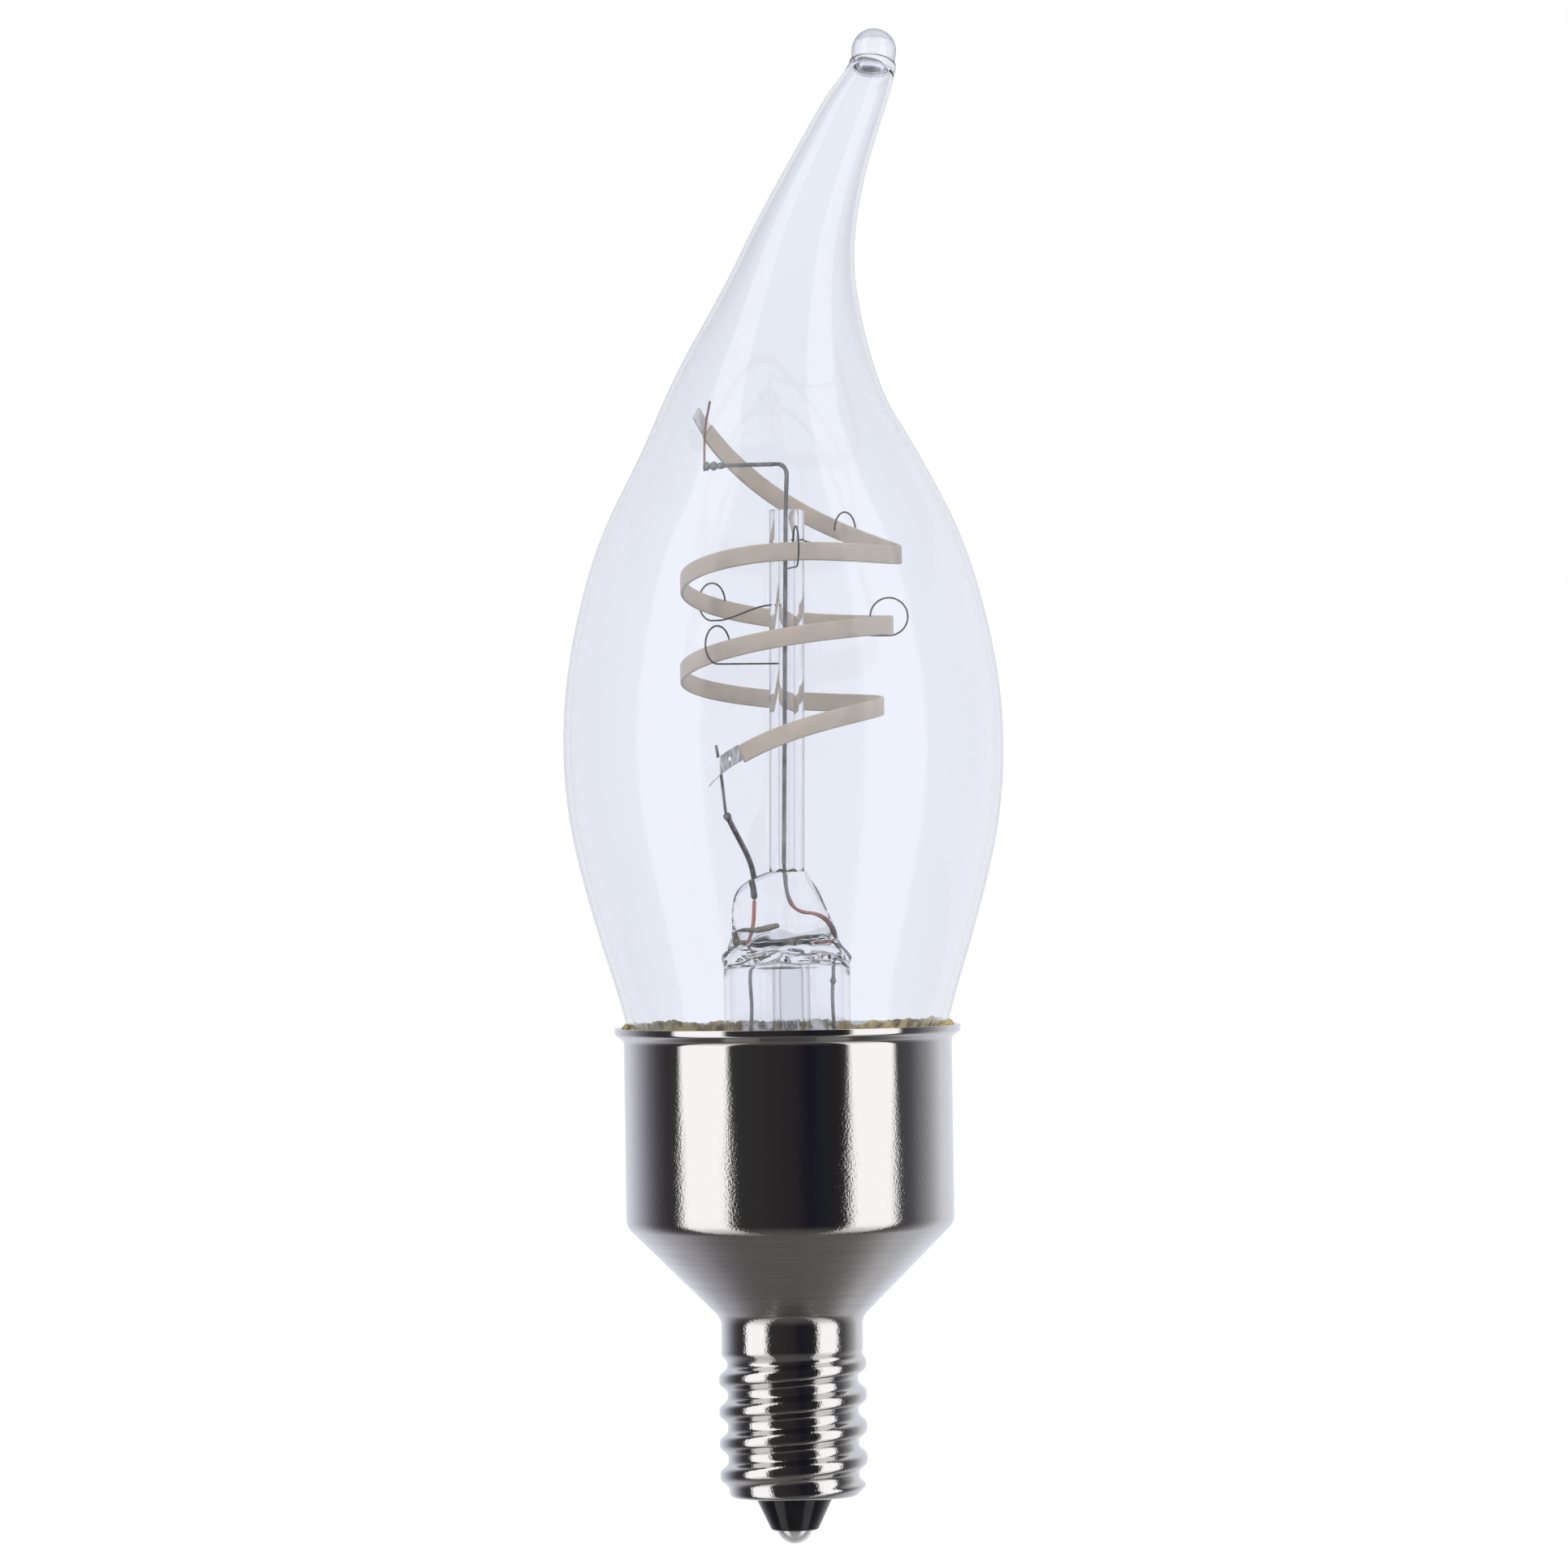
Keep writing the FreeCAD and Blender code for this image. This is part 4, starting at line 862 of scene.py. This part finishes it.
# Exhaust tube and support post
def add_exhaust_tube():
    section = filleted([
        (0.05, -1.3), (0.55, -1.1), (1.0, 0.0), (EXHAUST_RADIUS, 1.1), (EXHAUST_RADIUS, 13.0),
        (EXHAUST_BORE, 13.0), (EXHAUST_BORE, 1.4), (0.5, 0.2), (0.05, 0.0),
    ], [0.4, 0.5, 0.8, 0.05, 0.05, 0.5, 0.3], 5)
    section = [(radius, min(z, HOLLOW_TOP - 0.03)) for radius, z in divided(section, 0.8)]
    add_piece("exhaust_tube_smooth", lifted(lathe_rings(section, 64, EXHAUST_X)), "exhaust_tube",
              "stem_glass", tube_glass)


def add_support_post():
    foot, top = np.array(POST_FOOT), np.array(POST_TOP)
    length = top[2] - foot[2]
    section = filleted([(POST_RADIUS, POST_INSET), (POST_RADIUS, length), (POST_BORE, length),
                        (POST_BORE, POST_INSET)], [POST_EDGE, POST_EDGE], 5)
    rings = []
    for radius, height in divided(section, 0.6):
        centre = foot + (top - foot) * height / length
        rings.append(np.column_stack([circle(96) * radius, np.zeros(96)]) + centre)
    add_piece("support_post_smooth", lifted(rings), "support_post", "stem_glass", tube_glass,
              closed=True)


add_exhaust_tube()
add_support_post()


# Filament strip
def strip_places(angles):
    """Points on the middle line of the strip, at angles in degrees along it."""
    knots = np.arange(len(STRIP_STATIONS)) * STATION_STEP - STATION_START
    radius, z = spline(knots, STRIP_STATIONS, -np.asarray(angles, float)).T
    turn = np.radians(angles)
    return np.column_stack([radius * np.cos(turn), radius * np.sin(turn), z])


def strip_rings(start, end, height, thickness, step, corner):
    angles = np.linspace(start, end, max(4, round(abs(start - end) / step)))
    places = strip_places(angles)
    along = strip_places(angles - 0.5) - strip_places(angles + 0.5)
    level = places * (1, 1, 0)
    across = np.cross(along, level)
    outward = np.cross(across, along)
    across /= np.linalg.norm(across, axis=1)[:, None]
    outward /= np.linalg.norm(outward, axis=1)[:, None]
    section = []
    for sign_x, sign_y in ((1, -1), (1, 1), (-1, 1), (-1, -1)):
        for step_of_corner in range(4):
            turn = math.atan2(sign_y, sign_x) - math.pi / 4 + step_of_corner * math.pi / 6
            section.append((sign_x * (thickness / 2 - corner) + corner * math.cos(turn),
                            sign_y * (height / 2 - corner) + corner * math.sin(turn)))
    rings = []
    for place, out, rise in zip(places, outward, across):
        rings.append(np.array([place + out * x + rise * y for x, y in section]))
    return rings


strip = strip_rings(STRIP_FROM, STRIP_TO, STRIP_HEIGHT, STRIP_THICKNESS, 2.0, 0.12)
add_piece("led_filament_strip", lifted(strip), "led_filament", "filament_silicone", silicone)
foil = strip_rings(TERMINAL_END, STRIP_FROM + 0.1, TERMINAL_HEIGHT, TERMINAL_THICKNESS, 1.0, 0.06)
add_piece("filament_terminal_upper_foil", lifted(foil), "filament_terminal_upper",
          "terminal_foil", foil_upper)


# Pins and leads
def beside_strip(angle, offset, route):
    """A route given from a place on the inner side of the strip, at an offset from it."""
    place = strip_places([angle])[0]
    level = place * (1, 1, 0)
    middle = place - level / np.linalg.norm(level) * offset
    return lifted((middle[0] + x, middle[1] + y, z) for x, y, z in route)


upper_pin = beside_strip(PIN_UPPER_AT, 0.275, [
    (0.45, 0.35, 57.7), (0.0, 0.0, 55.4), (-0.05, -0.25, 52.0)])
lower_pin = beside_strip(PIN_LOWER_AT, 0.3, [
    (-0.35, 0.25, 30.1), (0.0, 0.0, 28.1), (0.35, 0.1, 24.7)])
wire("lead_pin_upper", upper_pin, 0.2, "pin_copper", pin_copper)
wire("lead_pin_lower", lower_pin, 0.25, "lead_nickel", lead_nickel)

upper_joint = upper_pin[-1] + (0, 0, LEAD_UPPER_RISE)
upper_lead = [upper_joint] + lifted([(0.62, 0.0, 52.35), (0.45, 0.0, 48.5), (-0.10, 0.0, 20.5)])
wire("lead_wire_upper", filleted(upper_lead, [0.9, 2.0]), 0.35, "lead_nickel", lead_nickel,
     [(0.2, 0.38, 0.34), (0.95, 0.36, 0.34), (1.6, 0.27, 0.4)], rounds=0, uneven=0.12)
lower_lead = [lower_pin[-1]] + lifted([
    (-3.95, -3.5, 23.3), (-2.80, -0.9, 21.0), (-2.47, 0.0, 19.5), (-2.42, 0.0, 17.8)])
wire("lead_wire_lower", lower_lead, 0.45, "lead_nickel", lead_nickel,
     [(0.3, 0.33, 0.5), (-0.3, 0.25, 0.8)])

seal_upper = lifted([
    (-0.10, 0.0, 20.48), (0.05, 0.0, 18.1), (0.80, 0.0, 16.8), (2.65, 0.0, 16.6),
    (3.75, 0.0, 14.9), (3.95, 0.0, 13.5)])
wire("seal_wire_upper", seal_upper, 0.3, "seal_copper", seal_weld, uneven=0.35)
seal_lower = lifted([(-2.42, 0.0, 17.78), (-2.55, 0.0, 15.45), (-3.0, 0.0, 13.8)])
wire("seal_wire_lower", seal_lower, 0.3, "seal_copper", seal_copper)

outer_upper = lifted([
    (3.95, 0.0, 13.44), (3.66, 0.0, 11.17), (3.60, 0.0, 9.9), (3.71, 0.0, 7.5),
    (4.2, 0.0, 3.5), (5.9, -0.65, -1.5), (5.9, -0.65, -4.9)])
wire("outer_lead_upper", outer_upper, 0.3, "lead_nickel", outer_wire,
     [(2.15, 0.26, 0.3), (-0.4, 0.5, 0.6)], rounds=3)
outer_lower = lifted([
    (-3.0, 0.0, 13.74), (-2.93, 0.0, 11.2), (-2.77, 0.0, 8.5), (-3.4, 0.0, 4.5),
    (-5.6, -0.65, -1.5), (-5.6, -0.65, -4.9)])
wire("outer_lead_lower", outer_lower, 0.3, "lead_nickel", outer_wire, [(-0.4, 0.5, 0.6)])


# Support wires
def post_axis(z):
    share = (z - POST_FOOT[2]) / (POST_TOP[2] - POST_FOOT[2])
    return POST_FOOT[0] + (POST_TOP[0] - POST_FOOT[0]) * share


def support_path(degrees, post_z, shift, slack, loop):
    """Out from the post under the strip, then round it in a loop to a free end on the inside."""
    turn = math.radians(degrees)
    middle = strip_places([degrees])[0]
    reach = math.hypot(middle[0], middle[1]) + shift
    foot_z = middle[2] - STRIP_HEIGHT / 2 - SUPPORT_WIRE / 2 - slack
    heading = np.array((math.cos(turn), math.sin(turn), 0.0))
    axis = post_axis(post_z)
    path = smoothed([
        heading * (POST_BORE + SUPPORT_EMBED) + (axis, 0, post_z),
        heading * (POST_RADIUS + SUPPORT_FIRST_RUN) + (axis / 2, 0, post_z),
        heading * (reach - LOOP_LEAD_IN) + (0, 0, foot_z),
        heading * reach + (0, 0, foot_z),
    ])
    for around in range(-84, 186, 6):
        swing = math.radians(around)
        path.append(heading * (reach + loop * math.cos(swing))
                    + (0, 0, foot_z + loop + loop * math.sin(swing)))
    return path


for number, support in enumerate(SUPPORTS, 1):
    wire("support_wire_%d" % number, lifted(support_path(*support)), SUPPORT_WIRE, "hook_wire",
         hook_wire, count=10, rounds=0, ending="_hook")


# Screw shell
def thread_radius(angle, z):
    """Radius of the rolled sheet. The ridges fade into the neck and into the lower rim."""
    mean = (THREAD_CREST + THREAD_ROOT) / 2
    depth = (THREAD_CREST - THREAD_ROOT) / 2
    above_rim = smooth_share((z - THREAD_BOTTOM) / RIM_FADE)
    into_neck = smooth_share((z - THREAD_TOP + THREAD_FADE) / THREAD_FADE)
    base = mean + (NECK_RADIUS - mean) * into_neck
    base += (THREAD_ROOT - RIM_STEP - mean) * (1 - above_rim)
    turn = 2 * math.pi * (z - THREAD_BOTTOM - FIRST_CREST) / THREAD_PITCH - angle
    wave = (math.cos(turn) - FLATTENING * math.cos(3 * turn)) / (1 - FLATTENING)
    return base + depth * above_rim * (1 - into_neck) * wave


def thread_rings(inset, bottom, spacing):
    """Rings of the thread. The outer ones are rounded at the lower edge."""
    angles = np.arange(SHELL_COLUMNS) * 2 * math.pi / SHELL_COLUMNS
    around = circle(SHELL_COLUMNS)
    rings = []
    for z in np.arange(bottom, THREAD_TOP - spacing / 2, spacing):
        radii = np.array([thread_radius(angle, z) for angle in angles]) - inset
        edge = z - bottom
        if edge < RIM_EDGE and not inset:
            radii = radii - (RIM_EDGE - math.sqrt(RIM_EDGE ** 2 - (RIM_EDGE - edge) ** 2))
        rings.append(np.column_stack([around * radii[:, None], np.full(SHELL_COLUMNS, z)]))
    return rings


def shell_rings():
    outside = filleted([
        (NECK_RADIUS, THREAD_TOP), (NECK_RADIUS, NECK_TOP), (SKIRT_RADIUS, CONE_TOP),
        (SKIRT_RADIUS, LIP_TOP - LIP_DEPTH), (LIP_RADIUS, LIP_TOP - LIP_EDGE_DEPTH),
        (LIP_RADIUS, LIP_TOP),
    ], [1.4, 1.3, 0.5, 0.25], 14)
    inside = filleted([
        (NECK_RADIUS - SHEET, THREAD_TOP), (NECK_RADIUS - SHEET, NECK_TOP + 0.12),
        (SKIRT_RADIUS - SHEET, CONE_TOP + 0.12), (SKIRT_RADIUS - SHEET, LIP_TOP - LIP_DEPTH_INSIDE),
        (LIP_RADIUS - 0.2, LIP_TOP + 0.05),
    ], [1.7, 1.1, 1.0], 8)
    lip = filleted([outside[-1], outside[-1] + (0.0, 0.1), inside[-1] + (0.05, 0.06), inside[-1]],
                   [0.06, 0.06], 4)
    lip = [(radius, min(z, LIP_EDGE_TOP)) for radius, z in lip[1:-1]]
    rim = [(RIM_OPENING, THREAD_BOTTOM + SHEET), (RIM_OPENING, THREAD_BOTTOM + 0.1),
           (RIM_OPENING + 0.1, THREAD_BOTTOM)]
    rings = lathe_rings(rim, SHELL_COLUMNS)
    rings += thread_rings(0, THREAD_BOTTOM, 0.1)
    rings += lathe_rings(divided(outside, 1.0) + lip + divided(inside, 2.0)[::-1], SHELL_COLUMNS)
    rings += thread_rings(SHEET, THREAD_BOTTOM + SHEET, 0.3)[::-1]
    return rings


add_piece("screw_shell_rolled", shell_rings(), "screw_shell", "shell_nickel", shell_nickel,
          closed=True)


# Cement, which shows above the lip at the sides and behind, and hardly in front
def cement_crown(spot):
    """Height of the lumpy upper edge in the direction of a spot, in mm."""
    x, y, z = spot
    length = math.hypot(x, y)
    behind = smooth_share(y / length / 0.9)
    ahead = smooth_share((-y / length - 0.1) / 0.55)
    gap = math.exp(-((x - CEMENT_GAP_X) / CEMENT_GAP_WIDTH) ** 2)
    lump = noise.fractal(Vector(spot) * 1.1, 1.0, 2.0, 4)
    low = noise.noise(Vector((x / length * 2.6, y / length * 2.6, 3.0)))
    grain = noise.noise(Vector(spot) * 2.6)
    return (41.48 - 0.2 * behind - 0.85 * ahead - 0.5 * gap
            + 0.16 * lump + 0.32 * low + 0.18 * grain)


def cement_rings():
    section = [
        (12.2, GLASS_RIM + 1.0), (12.7, GLASS_RIM + 1.0), (12.75, GLASS_RIM + 4.0),
        (12.75, CEMENT_SEAT), (13.25, 41.0), (13.36, 41.45), (13.15, 41.9), (12.9, CEMENT_TOP),
        (12.4, 42.0), (12.0, 41.0), (11.9, GLASS_RIM + 4.0), (11.8, GLASS_RIM + 2.0),
    ]
    rings = []
    for radius, z in divided([np.array(corner) for corner in section], 0.3):
        free = max(0.0, (z - CEMENT_SEAT) / (CEMENT_TOP - CEMENT_SEAT))
        ring = []
        for x, y in circle(CEMENT_COLUMNS):
            crown = cement_crown((x * radius, y * radius, z))
            height = min(z, CEMENT_SEAT) + free * (crown - CEMENT_SEAT)
            above_bend = max(0.0, height - LIP_TOP + LIP_DEPTH_INSIDE)
            within = min(radius, CEMENT_RADIUS + LIP_SLOPE * above_bend)
            ring.append((x * within, y * within, height))
        rings.append(np.array(ring))
    return rings


add_piece("basing_cement_lumps", cement_rings(), "basing_cement", "basing_cement", cement,
          closed=True)


# Insulator and contact
def contact_section():
    """Radius and height of the contact: a part of a ball with its shank."""
    dome = (CONTACT_RADIUS ** 2 + CONTACT_HEIGHT ** 2) / (2 * CONTACT_HEIGHT)
    section = [(0.03, 0.0)]
    for step in range(1, 25):
        z = CONTACT_HEIGHT * (step / 24) ** 1.5
        section.append((math.sqrt(dome ** 2 - (dome - z) ** 2), z))
    return section + [(1.40, 1.13), (0.5, 1.13), (0.5, 3.2)]


insulator = filleted([
    (0.52, CONTACT_HEIGHT), (1.75, CONTACT_HEIGHT), (1.9, 1.2), (3.25, 4.06), (4.75, 4.06),
    (4.75, 5.6), (0.52, 5.6),
], [0.05, 0.15, 0.2, 0.15, 0.15], 5)
add_piece("base_insulator_glass", lathe_rings(divided(insulator, 0.4), 128), "base_insulator",
          "insulator_black", insulator_black, closed=True)
add_piece("centre_contact_dome", lathe_rings(contact_section(), 96), "centre_contact",
          "contact_nickel", contact_nickel)


# Studio, in metres: a dome that only shows in shiny surfaces. Its levels are given in degrees round
# the part from the camera's side, and then in degrees above the horizon.
DOME_RADIUS = 1.2
DOME_CENTRE = 0.05
SOFTBOX = 1.45
AROUND = [
    (-180, (0.83, 0.84, 0.93)), (-150, (0.80, 0.81, 0.90)), (-135, (0.59, 0.59, 0.66)),
    (-125, (0.39, 0.39, 0.45)), (-115, (0.20, 0.20, 0.235)), (-105, (0.09, 0.088, 0.10)),
    (-95, (0.048, 0.045, 0.052)), (-84, grey(0.05)), (-80, grey(SOFTBOX)),
    (-45, grey(SOFTBOX)), (-41, grey(0.06)), (-36, grey(0.042)),
    (-10, (0.036, 0.031, 0.033)), (5, (0.03, 0.026, 0.032)), (13, (0.014, 0.012, 0.022)),
    (22, (0.019, 0.022, 0.03)), (36, (0.026, 0.022, 0.024)), (41, grey(0.06)),
    (45, grey(SOFTBOX)), (78, grey(SOFTBOX)), (82, (0.07, 0.07, 0.075)),
    (95, (0.107, 0.105, 0.12)), (105, (0.24, 0.24, 0.25)), (115, (0.40, 0.40, 0.41)),
    (125, (0.62, 0.62, 0.645)), (135, (0.84, 0.84, 0.87)), (150, (0.87, 0.89, 0.97)),
    (179, (0.84, 0.85, 0.94)),
]
UP_SHARE = [(-90, 0.0), (-80, 0.03), (-65, 0.16), (-50, 0.5), (-37, 0.66), (-25, 0.92), (-15, 1.0),
            (64, 1.0), (74, 0.2), (90, 0.1)]
BELOW = [(-90, (0.125, 0.12, 0.115)), (-60, (0.10, 0.096, 0.092)), (-40, (0.05, 0.048, 0.046)),
         (-20, grey(0.0))]


def dome_level(colour):
    return tuple(c / SOFTBOX for c in colour)


def height_place(degrees):
    return (math.sin(math.radians(degrees)) + 1) / 2


def dome_light():
    material = bpy.data.materials.new("studio_dome")
    material.use_nodes = True
    tree = material.node_tree
    tree.nodes.remove(tree.nodes["Principled BSDF"])
    place = tree.nodes.new("ShaderNodeTexCoord")
    turning = tree.nodes.new("ShaderNodeTexGradient")
    turning.gradient_type = "RADIAL"
    tree.links.new(place.outputs["Object"], turning.inputs["Vector"])
    around = ramp(tree, turning.outputs["Fac"], sorted(
        ((degrees + 90) % 360 / 360, dome_level(colour)) for degrees, colour in AROUND))
    rise = between(tree, "Z", -DOME_RADIUS / MM, DOME_RADIUS / MM)
    share = ramp(tree, rise, greys((height_place(degrees), level) for degrees, level in UP_SHARE))
    below = ramp(tree, rise,
                 [(height_place(degrees), dome_level(colour)) for degrees, colour in BELOW])
    total = combined(tree, "VectorMath", "ADD", tinted(tree, around, share), below)
    glow = tree.nodes.new("ShaderNodeEmission")
    glow.inputs["Strength"].default_value = SOFTBOX
    tree.links.new(total, glow.inputs["Color"])
    tree.links.new(glow.outputs["Emission"], tree.nodes["Material Output"].inputs["Surface"])
    return material


def add_dome():
    section = [(DOME_RADIUS * math.cos(turn), DOME_RADIUS * math.sin(turn))
               for turn in np.linspace(-1.5, 1.5, 40)]
    vertices, faces = from_rings(lathe_rings(section, 96), closed=False)
    dome = add_mesh("studio_dome", vertices, faces, dome_light(), 1.0)
    dome.location = (0, 0, DOME_CENTRE)
    for rays in ("camera", "diffuse", "transmission", "volume_scatter", "shadow"):
        setattr(dome, "visible_" + rays, False)


# Floor, well below the part
FLOOR_RADIUS = 0.6
FLOOR_HEIGHT = -0.12


def add_floor():
    ring = [(FLOOR_RADIUS * x, FLOOR_RADIUS * y, FLOOR_HEIGHT) for x, y in circle(96)]
    material = solid_material("floor_pale", (0.80, 0.80, 0.81), (0.83, 0.83, 0.84), 30.0,
                              (0.7, 0.8), 0.0001)
    floor = add_mesh("floor", ring, [tuple(range(96))], material, 1.0)
    floor.visible_glossy = False


# White background, which lights the part a little less than it shows
WORLD_LIGHT = 0.75


def add_world():
    world = bpy.data.worlds.new("studio")
    bpy.context.scene.world = world
    world.use_nodes = True
    tree = world.node_tree
    rays = tree.nodes.new("ShaderNodeLightPath").outputs
    seen = combined(tree, "Math", "MAXIMUM", rays["Is Camera Ray"], rays["Is Glossy Ray"])
    seen = combined(tree, "Math", "MAXIMUM", seen, rays["Is Transmission Ray"])
    background = tree.nodes["Background"]
    background.inputs["Color"].default_value = (1, 1, 1, 1)
    tree.links.new(mapped(tree, seen, 0.0, 1.0, WORLD_LIGHT, 1.0), background.inputs["Strength"])


# Lamps at both sides of the camera
LAMP_PLACE = (0.7, -0.6, 0.7)
LAMP_AIM = (0, 0, 0.06)
LAMP_SIZE = 0.6
LAMP_POWER = 5.0


def add_lamp(name, side):
    light = bpy.data.lights.new(name, "AREA")
    light.shape = "SQUARE"
    light.size = LAMP_SIZE
    light.energy = LAMP_POWER
    lamp = bpy.data.objects.new(name, light)
    bpy.context.scene.collection.objects.link(lamp)
    lamp.location = (side * LAMP_PLACE[0], LAMP_PLACE[1], LAMP_PLACE[2])
    aim = Vector(LAMP_AIM) - Vector(lamp.location)
    lamp.rotation_euler = aim.to_track_quat("-Z", "Y").to_euler()
    lamp.visible_glossy = False
    lamp.visible_transmission = False


# Camera, level with the middle of the part
CAMERA_PLACE = (0.0, -0.7578, 0.06045)
CAMERA_LENS = 218.6
CAMERA_SENSOR = 36.0
CAMERA_FAR = 20.0
CAMERA_ROLL = 0.85


def add_camera():
    data = bpy.data.cameras.new("camera")
    data.sensor_width = CAMERA_SENSOR
    data.lens = CAMERA_LENS
    data.clip_end = CAMERA_FAR
    camera = bpy.data.objects.new("camera", data)
    bpy.context.scene.collection.objects.link(camera)
    camera.location = CAMERA_PLACE
    camera.rotation_euler = (math.radians(90), math.radians(CAMERA_ROLL), 0)
    bpy.context.scene.camera = camera


add_dome()
add_floor()
add_world()
add_lamp("lamp_left", -1)
add_lamp("lamp_right", 1)
add_camera()
bpy.context.scene.view_settings.view_transform = "Standard"
